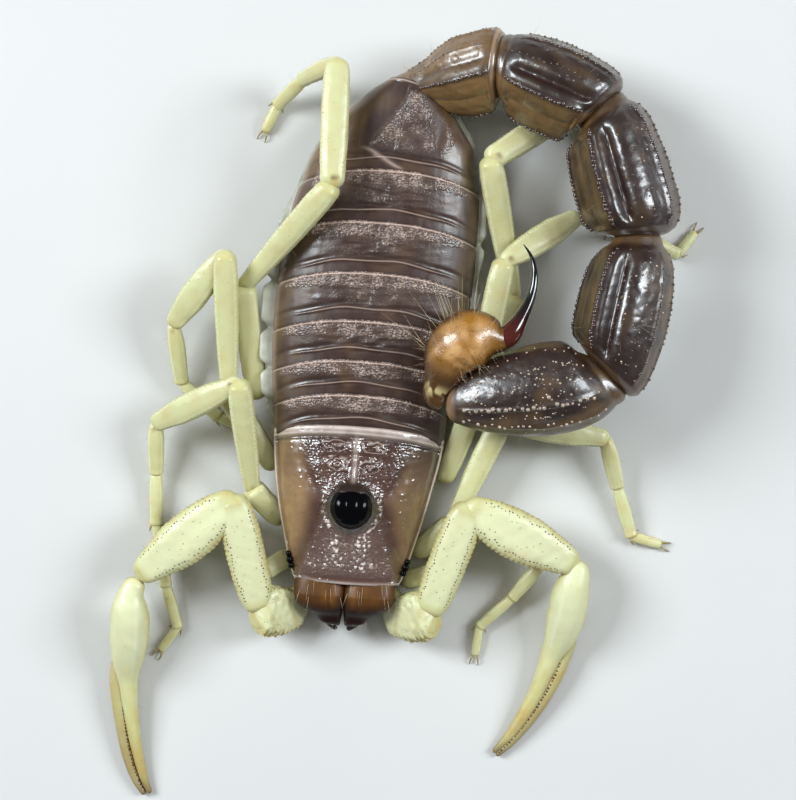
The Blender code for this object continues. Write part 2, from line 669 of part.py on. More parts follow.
def main():
    """Build the whole animal."""
    clear_scene()
    build_shield()
    build_eyes()
    build_underside()
    build_jaws()
    build_trunk()
    for side in ("left", "right"):
        build_arm(side)
        for number in (1, 2, 3, 4):
            build_leg(side, number)
    build_tail()
    centre_on_floor()


main()
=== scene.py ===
import math

import bpy
import numpy as np
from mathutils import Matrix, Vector


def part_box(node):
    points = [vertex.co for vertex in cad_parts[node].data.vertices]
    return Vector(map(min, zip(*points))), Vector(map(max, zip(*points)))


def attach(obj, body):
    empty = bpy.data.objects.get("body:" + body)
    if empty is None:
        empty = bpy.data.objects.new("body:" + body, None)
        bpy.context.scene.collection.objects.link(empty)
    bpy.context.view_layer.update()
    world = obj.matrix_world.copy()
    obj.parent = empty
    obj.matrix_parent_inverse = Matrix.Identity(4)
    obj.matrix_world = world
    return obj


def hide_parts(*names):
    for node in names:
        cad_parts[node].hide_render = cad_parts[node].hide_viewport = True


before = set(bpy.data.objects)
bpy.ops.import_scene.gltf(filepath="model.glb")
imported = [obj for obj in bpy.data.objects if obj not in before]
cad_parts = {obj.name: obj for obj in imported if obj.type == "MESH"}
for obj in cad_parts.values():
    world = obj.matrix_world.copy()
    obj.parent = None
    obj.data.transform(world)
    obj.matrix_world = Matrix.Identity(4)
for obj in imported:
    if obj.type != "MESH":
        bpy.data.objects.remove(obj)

bl_info = {
    "name": "Desert scorpion",
    "version": (1, 0, 0),
    "blender": (4, 5, 0),
    "location": "3D View > Sidebar > Scorpion",
    "description": "A life-size desert scorpion at rest, in shell plates, beads and bristles",
    "category": "Add Mesh",
}

# Lengths are in millimetres from the middle of the eye hill, and angles in degrees, unless a name says more.
MM = 0.001
UP = np.array((0.0, 0.0, 1.0))
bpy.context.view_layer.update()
SIDES = (("left", 1.0), ("right", -1.0))
FIELDS = ("tone", "dark", "pale", "grain")
WAVE_COUNT = 12
PATH_POINTS = 60


def middle_of_eyes():
    """Place of the eye hill on the floor plan, in metres: halfway between the two middle eyes."""
    corners = [*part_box("median_eye_left"), *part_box("median_eye_right")]
    low = np.min([list(c) for c in corners], axis=0)
    high = np.max([list(c) for c in corners], axis=0)
    return np.array((0.5 * (low[0] + high[0]), 0.5 * (low[1] + high[1]), 0.0))


ORIGIN = middle_of_eyes()

# Head shield: half width along its length, and heights.
SHIELD_Y = (-4.62, 4.62)
SHIELD_HALF_WIDTHS = (
    (-4.62, 3.16), (-4.3, 3.34), (-3.5, 3.62), (-2.0, 4.02), (-0.5, 4.4), (1.3, 4.76), (3.0, 5.03),
    (4.62, 5.2),
)
SHIELD_CROWN = ((-4.62, 3.6), (-4.3, 3.78), (-2.8, 4.1), (-1.2, 4.45), (0.5, 4.7), (3.0, 4.82), (4.62, 4.8))
SHIELD_RIM_Z = 2.75
SHIELD_UNDERSIDE_Z = 2.2
SHIELD_GRID = (250, 236)
EYE_HILL_RADIUS = 1.34
EYE_HILL_HEIGHT = 0.62
# Curled swellings behind the hill: places out from the midline and along, and half sizes.
SHIELD_CURLS = ((1.1, 3.62, 0.85, 0.36), (0.95, 2.5, 0.62, 0.46), (0.5, 1.75, 0.3, 0.3))
# Middle eyes: centre (out from the midline, along, up), half sizes and tilt, of the ball and the lens on it.
EYE_DOMES = (((0.04, 0.0, 4.6), (1.32, 1.36, 1.1), 0.0), ((0.5, 0.02, 4.72), (0.8, 1.1, 1.02), 0.06))
# Corner eyes: place along the shield and half size of each.
CORNER_EYES = ((-3.85, 0.17), (-3.5, 0.2), (-3.15, 0.16))
CORNER_EYES_Z = 2.95

# Back plates: rear edge on the midline, and the trunk's centre, half width and crown there.
PLATE_REARS = (6.47, 8.51, 10.91, 13.79, 16.85, 19.98, 25.62)
PLATE_CENTRES = (
    (4.4, 0.1), (8.5, 0.12), (10.9, 0.22), (13.8, 0.36), (16.85, 0.54), (18.5, 0.68), (20.0, 0.86),
    (22.5, 1.2), (25.7, 1.66),
)
PLATE_HALF_WIDTHS = (
    (4.4, 5.2), (6.4, 5.32), (8.5, 5.58), (10.9, 5.8), (13.8, 5.9), (16.85, 5.82), (18.5, 5.65), (20.0, 5.4),
    (21.5, 5.0), (22.6, 4.52), (23.6, 3.72), (24.5, 2.9), (25.2, 2.15), (25.7, 1.4),
)
PLATE_CROWN = ((4.4, 4.72), (8.5, 4.95), (13.8, 5.08), (19.0, 4.98), (22.5, 4.75), (25.7, 4.3))
PLATE_EDGE_Z = 2.75
PLATE_ARC = 0.72
PLATE_GRID = (92, 300)
LAST_PLATE_GRID = (150, 260)
# Soft trunk under the back plates: where it runs from and to, height of its rims, and line of its belly.
TRUNK_Y = (4.35, 25.25)
SKIN_EDGE_Z = 2.3
BELLY_LINE = (
    (4.3, 1.7), (6.4, 1.5), (8.0, 0.7), (9.5, 0.12), (11.0, 0.0), (19.0, 0.0), (21.5, 0.35), (25.3, 1.5),
)
# Breastbone: half width along it. Coxae: place, heading, length and half width of each on the left.
BREASTBONE_HALF_WIDTHS = ((-4.4, 2.0), (-3.0, 2.8), (0.0, 3.4), (3.0, 4.2), (5.4, 4.5), (6.2, 3.9))
COXAE = (
    (0.5, -3.6, 318.0, 2.4, 0.75), (0.55, -2.4, 338.0, 3.3, 0.85), (0.7, -0.2, 12.0, 3.8, 0.9),
    (0.8, 1.6, 38.0, 5.4, 1.0),
)
COMB_TEETH = 22

# Jaws: girth along the hand; and place out and forward, length, thickness and bend of the fixed finger and of
# its two teeth.
JAW_GIRTH = ((0.0, 0.94), (0.2, 1.0), (0.4, 0.99), (0.56, 0.93), (0.68, 0.76), (0.79, 0.52), (1.0, 0.36))
JAW_TEETH = ((0.42, 0.0, 1.0, 0.32, 4.0), (0.75, 0.25, 0.55, 0.17, 40.0), (0.62, 0.5, 0.45, 0.12, 60.0))

# Legs and arms, as the solids hold them.
LEG_LENGTHS = {
    1: (1.9, 4.8, 4.3, 2.8, 2.7, 1.9),
    2: (2.7, 7.1, 6.5, 3.25, 3.2, 2.0),
    3: (5.1, 8.85, 5.7, 3.9, 3.1, 1.8),
    4: (6.8, 8.8, 7.5, 3.9, 2.9, 1.9),
}
LEG_GIRTHS = ((0.74, 0.74), (0.72, 0.74), (0.8, 0.72), (0.5, 0.5), (0.42, 0.4), (0.33, 0.32))
LEG_SCALE = {1: 0.86, 2: 1.0, 3: 1.0, 4: 1.04}
# Girth along each length of a leg: (share of the length, share of the half width).
LEG_PROFILES = (
    ((0.0, 0.75), (0.3, 0.95), (0.7, 1.0), (0.92, 1.04), (1.0, 0.9)),
    ((0.0, 0.6), (0.08, 0.68), (0.3, 0.86), (0.55, 1.0), (0.8, 1.04), (0.93, 0.94), (1.0, 0.74)),
    ((0.0, 0.52), (0.08, 0.64), (0.2, 0.84), (0.42, 1.03), (0.62, 1.04), (0.84, 0.8), (0.95, 0.68),
     (1.0, 0.56)),
    ((0.0, 0.62), (0.1, 0.8), (0.4, 1.04), (0.7, 0.98), (0.88, 0.88), (0.95, 0.96), (1.0, 0.8)),
    ((0.0, 0.7), (0.15, 0.9), (0.5, 1.0), (0.85, 0.9), (0.95, 1.0), (1.0, 0.84)),
    ((0.0, 0.8), (0.4, 1.0), (0.8, 0.95), (1.0, 0.8)),
)
HIND_PATELLA_PROFILE = ((0.0, 0.72), (0.08, 0.84), (0.25, 0.95), (0.6, 1.0), (0.88, 0.92), (1.0, 0.76))
LEG_BRISTLES = (8, 22, 20, 22, 26, 24)
# Rows of beads along the femur and patella of a leg: (turn round from the top, tone).
LEG_BEAD_ROWS = ((0.85, 0.85), (-0.85, 0.85), (1.35, 1.0), (-1.35, 1.0))
LEG_POSES = {
    ("right", 1): (
        (-3.5, -3.3, 1.25),
        (216, 1.7), (131, 2.2), (-146, 1.5), (-77, 0.95), (-71, 0.45), (-122, 0.22),
    ),
    ("right", 2): (
        (-4.25, -1.25, 1.25),
        (137, 2.1), (100, 5.0), (-151, 2.0), (-87, 1.0), (-87, 0.45), (-73, 0.22),
    ),
    ("right", 3): (
        (-5.0, 2.0, 1.3),
        (126, 2.4), (95, 4.8), (-124, 2.6), (-80, 0.95), (-40, 0.45), (-18, 0.22),
    ),
    ("right", 4): (
        (-6.3, 6.2, 1.35),
        (101, 3.0), (51, 6.7), (92, 5.7), (-160, 2.5), (-137, 0.5), (-112, 0.22),
    ),
    ("left", 1): (
        (3.5, -4.4, 1.25),
        (20, 1.5), (49.5, 2.0), (-38, 1.5), (-125, 0.9), (-134, 0.45), (-94, 0.22),
    ),
    ("left", 2): (
        (4.1, -2.6, 1.25),
        (42, 1.5), (69, 2.4), (-5, 1.9), (-71, 1.0), (-69, 0.45), (-12, 0.22),
    ),
    ("left", 3): (
        (5.5, 2.0, 1.3),
        (74, 2.9), (82.5, 4.25), (36, 2.3), (-9, 0.95), (-21, 0.45), (56, 0.22),
    ),
    ("left", 4): (
        (6.75, 6.9, 1.2),
        (72, 1.35), (105, 4.4), (38, 1.2), (-49, 0.85), (-84, 0.45), (-100, 0.22),
    ),
}
ARM_LENGTHS = (1.75, 2.5, 6.8, 7.3)
ARM_POSES = {
    "right": ((-1.75, -5.75, 0.65), (208, 1.2), (178, 2.75), (107, 4.3), (-137, 3.0)),
    "left": ((1.85, -5.75, 0.65), (-29, 1.2), (19, 2.75), (74, 4.3), (-24, 3.0)),
}
# Rows of beads along the trochanter of an arm: (turn towards the front, size, tone).
TROCHANTER_BEAD_ROWS = (
    (1.4, 0.075, 1.0), (1.1, 0.055, 0.9), (0.5, 0.026, 0.0), (-0.3, 0.026, 0.0), (-0.9, 0.03, 0.0),
)
TROCHANTER_GIRTH = ((0.0, 0.5), (0.2, 0.72), (0.5, 0.98), (0.78, 1.02), (1.0, 0.72))
ARM_GIRTHS = {
    "femur": ((0.0, 0.7), (0.08, 0.84), (0.25, 0.97), (0.5, 1.02), (0.75, 1.0), (0.92, 0.84), (1.0, 0.66)),
    "patella": (
        (0.0, 0.56), (0.08, 0.68), (0.2, 0.88), (0.38, 1.03), (0.55, 1.04), (0.75, 0.86), (0.92, 0.64),
        (1.0, 0.52),
    ),
}
# Turns round the femur and patella of an arm at which their four edges carry beads.
ARM_BEAD_TURNS = (0.72, -0.72, 1.3, -1.3)
# Hand with its fixed finger, and the movable finger: places along the middle and the half width there.
HAND_PATHS = {
    "right": (
        (-12.56, -5.32, 3.0, 0.55), (-12.93, -6.33, 2.85, 0.8), (-12.98, -7.01, 2.7, 1.04),
        (-12.92, -7.94, 2.4, 1.18), (-12.91, -9.27, 1.9, 1.16), (-12.96, -10.35, 1.5, 0.98),
        (-12.95, -11.18, 1.25, 0.76), (-12.89, -11.86, 1.1, 0.62), (-12.75, -12.79, 1.0, 0.53),
        (-12.44, -14.51, 0.8, 0.42), (-11.99, -16.36, 0.55, 0.33), (-11.5, -17.83, 0.38, 0.25),
        (-11.09, -18.7, 0.3, 0.16),
    ),
    "left": (
        (13.8, -2.25, 3.0, 0.55), (13.85, -3.1, 2.85, 0.8), (13.72, -3.73, 2.7, 1.0),
        (13.59, -4.49, 2.4, 1.15), (13.49, -5.57, 2.0, 1.16), (13.31, -6.79, 1.5, 1.02),
        (13.05, -7.63, 1.25, 0.8), (12.83, -8.27, 1.1, 0.66), (12.5, -9.35, 1.0, 0.54),
        (12.04, -10.76, 0.8, 0.46), (11.36, -12.25, 0.6, 0.4), (10.65, -13.5, 0.42, 0.31),
        (9.75, -14.6, 0.3, 0.16),
    ),
}
FINGER_PATHS = {
    "right": (
        (-13.56, -10.26, 1.1, 0.4), (-13.58, -11.49, 1.05, 0.46), (-13.48, -12.72, 0.95, 0.42),
        (-13.12, -14.57, 0.75, 0.36), (-12.66, -16.4, 0.55, 0.31), (-12.02, -17.92, 0.38, 0.24),
        (-11.42, -18.8, 0.3, 0.15),
    ),
    "left": (
        (13.88, -6.35, 1.1, 0.4), (13.83, -7.28, 1.1, 0.46), (13.62, -8.29, 1.0, 0.44),
        (13.14, -9.81, 0.85, 0.41), (12.42, -11.36, 0.65, 0.37), (11.7, -12.6, 0.5, 0.32),
        (10.9, -13.73, 0.38, 0.26), (9.95, -14.8, 0.3, 0.15),
    ),
}

# Bristles: lean towards the end of their part, and the strips of their map, one for each part.
BRISTLE_LEAN = 0.35
BRISTLE_STRIPS = 64.0

# Tail: start, then length, heading, end height, half height, half width and roll of each segment.
TAIL_START = (1.75, 25.35, 2.9)
TRUNK_END_HEADING = 84.0
TAIL_SEGMENTS = (
    (5.8, 17, 4.8, 2.55, 2.4, 48),
    (6.5, -20, 5.6, 2.75, 2.55, 60),
    (7.9, -70, 5.75, 3.0, 2.65, 70),
    (8.5, -98, 5.75, 2.9, 2.6, 76),
    (9.6, -166.5, 5.85, 3.0, 2.45, 96),
)
TAIL_PROFILES = (
    ((0.0, 0.44), (0.1, 0.52), (0.22, 0.62), (0.42, 0.86), (0.66, 1.0), (0.84, 1.0), (0.94, 0.93),
     (1.0, 0.8)),
    ((0.0, 0.68), (0.08, 0.8), (0.17, 0.9), (0.38, 1.0), (0.64, 1.01), (0.82, 0.95), (0.93, 0.82),
     (1.0, 0.62)),
    ((0.0, 0.5), (0.05, 0.58), (0.13, 0.8), (0.36, 0.96), (0.64, 1.0), (0.84, 0.97), (0.94, 0.82),
     (1.0, 0.6)),
    ((0.0, 0.48), (0.05, 0.56), (0.13, 0.78), (0.34, 0.96), (0.6, 1.0), (0.8, 0.93), (0.93, 0.76),
     (1.0, 0.56)),
    ((0.0, 0.5), (0.06, 0.62), (0.18, 0.9), (0.38, 1.0), (0.6, 0.9), (0.78, 0.73), (0.9, 0.54), (1.0, 0.34)),
)
# Section of each segment: (angle from the middle of the back, share of the radius).
TAIL_SECTIONS = (
    ((0, 0.8), (24, 0.9), (42, 1.0), (63, 0.96), (88, 0.99), (110, 1.0), (130, 0.97), (152, 0.98),
     (180, 0.95)),
    ((0, 0.78), (22, 0.88), (40, 1.0), (50, 1.0), (60, 0.94), (74, 0.99), (90, 1.01), (114, 1.0), (132, 0.96),
     (152, 0.98), (180, 0.95)),
    ((0, 0.78), (22, 0.88), (40, 0.99), (50, 1.01), (61, 0.92), (74, 1.0), (90, 1.04), (106, 0.99),
     (119, 1.0), (136, 0.96), (154, 0.98), (180, 0.94)),
    ((0, 0.78), (22, 0.88), (42, 0.99), (51, 1.01), (62, 0.92), (74, 1.0), (88, 1.03), (104, 0.99),
     (122, 0.97), (150, 0.98), (180, 0.94)),
    ((0, 0.84), (26, 0.92), (52, 0.97), (80, 0.98), (104, 1.0), (124, 0.98), (150, 0.96), (180, 0.98)),
)
# Keels: (angle, height of the ridge, beads on it, size of a bead).
TAIL_KEELS = (
    ((42, 0.05, 20, 0.1), (84, 0.04, 17, 0.075), (112, 0.05, 19, 0.08), (150, 0.04, 14, 0.07)),
    ((40, 0.07, 21, 0.12), (82, 0.0, 15, 0.07), (114, 0.05, 20, 0.11), (150, 0.05, 17, 0.08)),
    ((40, 0.08, 24, 0.13), (119, 0.06, 22, 0.13), (152, 0.05, 20, 0.1)),
    ((42, 0.08, 26, 0.12), (66, 0.0, 22, 0.07), (98, 0.0, 20, 0.07), (122, 0.04, 18, 0.1),
     (152, 0.05, 20, 0.09)),
    ((48, 0.0, 14, 0.07), (72, 0.0, 16, 0.075), (92, 0.0, 17, 0.08), (118, 0.06, 24, 0.13),
     (150, 0.05, 22, 0.1)),
)
TAIL_FURROWS = ((63.0, 0.1), (60.0, 0.17), (61.0, 0.26), (62.0, 0.24), None)
TAIL_GRID = (130, 176)
# For each segment: share of the amber face, tone and unevenness of the keel beads, number and palest tone of
# the nodules.
# The paler bead and nodule tones are pale granules with painted glints on them.
TAIL_FACE_TONES = (1.0, 0.7, 0.25, 0.2, 0.2)
TAIL_BEAD_TONES = (0.12, 0.1, 0.05, 0.05, 0.6)
TAIL_BEAD_JITTERS = (0.02, 0.02, 0.02, 0.025, 0.06)
TAIL_NODULES = (30, 70, 90, 160, 260)
TAIL_NODULE_TONES = (0.2, 0.3, 0.5, 0.8, 1.0)

# Poison bulb and sting.
STALK_HEADING = 170.0
BULB_PATH = (
    (5.0, 6.65, 5.8, 0.56), (4.6, 6.82, 5.9, 0.66), (4.46, 7.2, 6.0, 0.74), (4.64, 7.8, 6.15, 0.92),
    (4.84, 8.4, 6.3, 1.2), (5.06, 9.1, 6.4, 1.5), (5.52, 9.85, 6.5, 1.76), (6.1, 10.36, 6.55, 1.84),
    (6.85, 10.6, 6.65, 1.68), (7.5, 10.68, 6.75, 1.26), (8.0, 10.66, 6.85, 0.86), (8.45, 10.85, 6.9, 0.6),
)
STING_PATH = (
    (7.9, 10.5, 6.9, 0.62), (8.4, 10.75, 6.9, 0.66), (8.72, 11.12, 6.9, 0.62), (9.19, 12.0, 6.9, 0.42),
    (9.62, 13.1, 6.85, 0.29), (9.78, 14.23, 6.8, 0.21), (9.68, 15.11, 6.7, 0.14), (9.4, 15.76, 6.65, 0.09),
    (8.96, 16.3, 6.6, 0.03),
)

# Finishes: the colours that the painted fields choose between, by their screen values or by the name of their
# setting, and how the surface takes the light.
# The dark and pale colours also serve the painted shade, highlights and glints of the pieces.
FINISHES = {
    "Shield shell": dict(base=(88, 58, 47), tone=(152, 122, 84), dark=(38, 22, 17), pale=(222, 206, 196),
                         patch=(80, 56, 46), roughness=0.24, depth=0.03, tops=0.1, coat=0.5, specular=0.9),
    "Back shell": dict(base="shell", tone="shell_side", dark=(34, 24, 20), pale=(200, 174, 160),
                       patch=(70, 48, 40), roughness=0.36, depth=0.028, tops=0.12, coat=0.12, specular=0.7),
    "Side skin": dict(base="skin", tone=(206, 196, 150), dark=(92, 84, 66), pale=(214, 214, 200),
                      roughness=0.42, depth=0.02, glow=0.1),
    "Tail shell": dict(base="tail", tone="tail_face", dark=(40, 12, 8), pale=(176, 140, 104),
                       patch=(50, 30, 24), roughness=0.36, depth=0.026, pores=0.3, coat=0.4,
                       patch_amount=0.35, specular=0.9),
    # Its pale tone colour serves pale granules with painted glints on them.
    "Tail beads": dict(base=(50, 20, 14), tone=(206, 184, 164), dark=(30, 10, 8), pale=(220, 200, 180),
                       roughness=0.24, depth=0.004, coat=0.6, specular=0.9),
    "Limb shell": dict(base="limb", tone="limb_warm", dark=(96, 66, 36), pale=(224, 227, 192),
                       patch=(196, 206, 150), roughness=0.36, depth=0.014, glow=0.12, patch_amount=0.45,
                       freckle=0.04, tops=0.1),
    "Limb beads": dict(base=(72, 46, 24), tone=(206, 196, 134), dark=(60, 40, 22), pale="cream",
                       roughness=0.35, depth=0.004),
    "Jaw shell": dict(base="jaw", tone=(128, 82, 32), dark=(28, 8, 6), pale=(226, 200, 170),
                      patch=(80, 48, 20), roughness=0.44, depth=0.008, specular=0.3),
    "Bulb shell": dict(base="bulb", tone=(212, 166, 112), dark=(48, 26, 8), pale=(214, 196, 140),
                       patch=(140, 88, 22), roughness=0.32, patch_scale=1500.0, patch_amount=0.5, freckle=0.3,
                       depth=0.03, coat=0.3, glow=0.04, specular=0.8),
    "Sting shell": dict(base=(22, 12, 12), tone=(82, 26, 16), dark=(8, 6, 8), pale=(190, 190, 190),
                        roughness=0.12, depth=0.003, coat=0.8),
    "Eye lens": dict(base=(4, 4, 6), tone=(30, 22, 24), dark=(2, 2, 3), pale=(60, 50, 50), roughness=0.15,
                     depth=0.0003, pores=0.03, specular=0.16),
    "Bristle": dict(base=(220, 200, 160), tone=(110, 74, 44), dark=(60, 36, 22), pale=(236, 222, 190),
                    roughness=0.4, depth=0.002),
}


def linear(red, green, blue):
    """Light values of a colour given by its screen values from 0 to 255."""
    return tuple((c / 255.0 / 12.92) if c < 10.3 else ((c / 255.0 + 0.055) / 1.055) ** 2.4
                 for c in (red, green, blue))


# ---------------------------------------------------------------- curves and surfaces

def unit(vectors):
    """Vectors made one unit long."""
    return vectors / np.maximum(np.linalg.norm(vectors, axis=-1, keepdims=True), 1e-12)


def together(*parts):
    """Arrays set side by side along a new last axis."""
    return np.stack(parts, axis=-1)


def through(x, knots):
    """Values at x of a smooth curve through (position, value) knots."""
    places = np.array([k[0] for k in knots], float)
    values = np.array([k[1] for k in knots], float)
    slopes = np.diff(values) / np.diff(places)
    tangents = np.concatenate(([slopes[0]], 0.5 * (slopes[1:] + slopes[:-1]), [slopes[-1]]))
    tangents[1:-1][slopes[1:] * slopes[:-1] <= 0.0] = 0.0
    x = np.clip(np.asarray(x, float), places[0], places[-1])
    i = np.clip(np.searchsorted(places, x, side="right") - 1, 0, len(places) - 2)
    width = places[i + 1] - places[i]
    s = (x - places[i]) / width
    return ((2 * s ** 3 - 3 * s ** 2 + 1) * values[i] + (s ** 3 - 2 * s ** 2 + s) * width * tangents[i]
            + (3 * s ** 2 - 2 * s ** 3) * values[i + 1] + (s ** 3 - s ** 2) * width * tangents[i + 1])


def step(x, low, high):
    """0 below low, 1 above high and a smooth rise between."""
    s = np.clip((x - low) / (high - low), 0.0, 1.0)
    return s * s * (3.0 - 2.0 * s)


def fall(x, low, high):
    """1 below low, 0 above high and a smooth fall between."""
    return 1.0 - step(x, low, high)


def held(values):
    """Values held between 0 and 1."""
    return np.clip(values, 0.0, 1.0)


def bump(x, middle, width):
    """A bell of height 1 round middle."""
    return np.exp(-((x - middle) / width) ** 2)


def rounded(t, near, far):
    """Closes a tube round at both ends: 0 at each end and 1 after the given shares of its length."""
    start = np.sqrt(held(1.0 - (1.0 - held(t / near)) ** 2))
    end = np.sqrt(held(1.0 - (1.0 - held((1.0 - t) / far)) ** 2))
    return start * end


def waves(points, size, seed):
    """Soft irregular ups and downs of about the given size, from about -1 to 1."""
    rng = np.random.default_rng(seed)
    total = 0.0
    for _ in range(WAVE_COUNT):
        heading = unit(rng.normal(size=3)) * rng.uniform(0.6, 1.6) * math.tau / size
        total = total + np.sin(points @ heading + rng.uniform(0.0, math.tau))
    return total / math.sqrt(WAVE_COUNT)


def grains(u, v, spacing, seed, size=0.42, fill=0.85):
    """Round grains scattered over a plane: 0 between them and up to 1 on top of each."""
    rng = np.random.default_rng(seed)
    cell_u = np.floor(u / spacing).astype(int)
    cell_v = np.floor(v / spacing).astype(int)
    low_u = cell_u.min() - 1
    low_v = cell_v.min() - 1
    shape = (cell_u.max() - low_u + 2, cell_v.max() - low_v + 2)
    shift_u = rng.uniform(0.15, 0.85, shape)
    shift_v = rng.uniform(0.15, 0.85, shape)
    height = rng.uniform(0.45, 1.0, shape) * (rng.random(shape) < fill)
    result = np.zeros(np.broadcast(u, v).shape)
    for du in (-1, 0, 1):
        for dv in (-1, 0, 1):
            a = cell_u - low_u + du
            b = cell_v - low_v + dv
            far_u = u - (cell_u + du + shift_u[a, b]) * spacing
            far_v = v - (cell_v + dv + shift_v[a, b]) * spacing
            share = (far_u ** 2 + far_v ** 2) / (size * spacing) ** 2
            result = np.maximum(result, height[a, b] * np.sqrt(held(1.0 - share)))
    return result


def heading_vector(heading, rise=0.0, reach=1.0):
    """Unit vector with a heading in the floor plane, rising by rise over a level reach."""
    angle = math.radians(heading)
    return unit(np.array((math.cos(angle) * reach, math.sin(angle) * reach, rise)))


def walk(start, lengths, steps):
    """Joints of a chain: each step gives a heading and the height reached at its end."""
    joints = [np.array(start, float)]
    for length, (heading, height) in zip(lengths, steps):
        rise = height - joints[-1][2]
        reach = math.sqrt(max(length * length - rise * rise, 0.0))
        joints.append(joints[-1] + length * heading_vector(heading, rise, reach))
    return joints


def arc_points(start, headings, length, end_height, steps):
    """Points along a curve that turns evenly from one heading to another."""
    points = [np.array(start, float)]
    rise = (end_height - start[2]) / steps
    pace = length / steps
    reach = math.sqrt(pace * pace - rise * rise)
    for i in range(steps):
        heading = headings[0] + (headings[1] - headings[0]) * (i + 0.5) / steps
        points.append(points[-1] + pace * heading_vector(heading, rise, reach))
    return np.array(points)


def measured(rows):
    """Smooth path through (x, y, z, half width) rows, the half widths as knots along it, and its length."""
    rows = np.array(rows, float)
    lengths = np.linalg.norm(np.diff(rows[:, :3], axis=0), axis=1)
    shares = np.concatenate(([0.0], np.cumsum(lengths))) / lengths.sum()
    t = np.linspace(0.0, 1.0, PATH_POINTS)
    path = np.stack([through(t, list(zip(shares, rows[:, k]))) for k in range(3)], axis=-1)
    return path, list(zip(shares, rows[:, 3])), lengths.sum()


class Tube:
    """A closed tube along a path; shape(t, turn) gives its offsets across and up, and its fields."""

    def __init__(self, path, up, shape):
        self.path = np.array(path, float)
        lengths = np.linalg.norm(np.diff(self.path, axis=0), axis=1)
        self.stations = np.concatenate(([0.0], np.cumsum(lengths))) / lengths.sum()
        self.tangents = unit(np.gradient(self.path, self.stations, axis=0))
        self.up = up
        self.shape = shape

    def at(self, t, turn):
        """Points of the surface, t along from 0 to 1 and turn round from the top, in radians."""
        t, turn = np.broadcast_arrays(np.asarray(t, float), np.asarray(turn, float))
        centre = together(*[np.interp(t, self.stations, self.path[:, k]) for k in range(3)])
        forward = [np.interp(t, self.stations, self.tangents[:, k]) for k in range(3)]
        forward = unit(together(*forward))
        side = unit(np.cross(forward, self.up))
        above = np.cross(side, forward)
        across, rising, fields = self.shape(t, turn)
        along = np.asarray(fields.get("along", 0.0))  # only the tail leans its cuts along the path
        return centre + side * across[..., None] + above * rising[..., None] + forward * along[..., None]

    def facing(self, t, turn):
        """Outward directions of the surface."""
        t, turn = np.broadcast_arrays(np.asarray(t, float), np.asarray(turn, float))
        low = np.clip(t, 0.02, 0.98)
        run = self.at(low + 0.01, turn) - self.at(low - 0.01, turn)
        sweep = self.at(low, turn + 0.03) - self.at(low, turn - 0.03)
        return unit(np.cross(sweep, run))

    def grid(self, rings, sides, crowd=0.6):
        """Rows of points for a mesh, closer together near the ends, and the fields on them."""
        s = np.linspace(0.0, 1.0, rings)
        t = (1.0 - crowd) * s + crowd * 0.5 * (1.0 - np.cos(math.pi * s))
        turn = np.linspace(0.0, math.tau, sides, endpoint=False)
        rows, columns = np.meshgrid(t, turn, indexing="ij")
        return self.at(rows, columns), self.shape(rows, columns)[2]


class Skin:
    """Gathers closed surfaces into one mesh, with the painted fields that its finish reads."""

    def __init__(self):
        self.points = []
        self.quads = []
        self.triangles = []
        self.fields = {name: [] for name in FIELDS}
        self.count = 0

    def add(self, grid, fields=None):
        """Add rows of points, each row closed round and the ends closed with a pole."""
        rows, sides = grid.shape[:2]
        points = np.concatenate((grid.reshape(-1, 3), [grid[0].mean(axis=0)], [grid[-1].mean(axis=0)]))
        points[:, 2] = np.maximum(points[:, 2], 0.0)
        index = np.arange(rows * sides).reshape(rows, sides)
        ahead = np.roll(index, -1, axis=1)
        quads = together(index[:-1], ahead[:-1], ahead[1:], index[1:]).reshape(-1, 4)
        near = np.full(sides, rows * sides)
        first = together(near, ahead[0], index[0])
        last = together(near + 1, index[-1], ahead[-1])
        triangles = np.concatenate((first, last))
        a, b, c, d = (points[quads[:, k]] for k in range(4))
        volume = sum(np.einsum("ij,ij->", np.cross(q - a, r - a), a) for q, r in ((b, c), (c, d)))
        if volume < 0.0:
            quads = quads[:, ::-1]
            triangles = triangles[:, ::-1]
        self.quads.append(quads + self.count)
        self.triangles.append(triangles + self.count)
        self.points.append(points)
        for name in FIELDS:
            values = held(np.broadcast_to((fields or {}).get(name, 0.0), (rows, sides)))
            ends = [values[0].mean(), values[-1].mean()]
            self.fields[name].append(np.concatenate((values.reshape(-1), ends)))
        self.count += len(points)

    def add_tube(self, tube, rings, sides, crowd=0.6):
        """Add a tube."""
        grid, fields = tube.grid(rings, sides, crowd)
        self.add(grid, fields)

    def build(self, name, finish_name, slot, *nodes):
        """Make the piece, in metres and in place; the nodes are the solids that it stands for."""
        points = np.concatenate(self.points) * MM + ORIGIN
        quads = np.concatenate(self.quads)
        triangles = np.concatenate(self.triangles)
        mesh = bpy.data.meshes.new(name)
        mesh.vertices.add(len(points))
        mesh.vertices.foreach_set("co", points.astype(np.float32).ravel())
        loops = np.concatenate((quads.ravel(), triangles.ravel()))
        mesh.loops.add(len(loops))
        mesh.loops.foreach_set("vertex_index", loops.astype(np.int32))
        starts = np.concatenate((np.arange(len(quads)) * 4, len(quads) * 4 + np.arange(len(triangles)) * 3))
        mesh.polygons.add(len(starts))
        mesh.polygons.foreach_set("loop_start", starts.astype(np.int32))
        for field, values in self.fields.items():
            attribute = mesh.attributes.new(field, "FLOAT", "POINT")
            attribute.data.foreach_set("value", np.concatenate(values).astype(np.float32))
        mesh.update(calc_edges=True)
        mesh.validate()
        mesh.shade_smooth()
        mesh.materials.append(finish(finish_name))
        settle(show(name, mesh), slot, *nodes)


def show(name, data):
    """A new object in the scene."""
    thing = bpy.data.objects.new(name, data)
    bpy.context.scene.collection.objects.link(thing)
    return thing


def settle(thing, slot, *nodes):
    """Fix a finished piece to the animal and hide the solids that it stands for; its finish slot is not used.
    """
    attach(thing, "root")
    if nodes:
        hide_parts(*nodes)


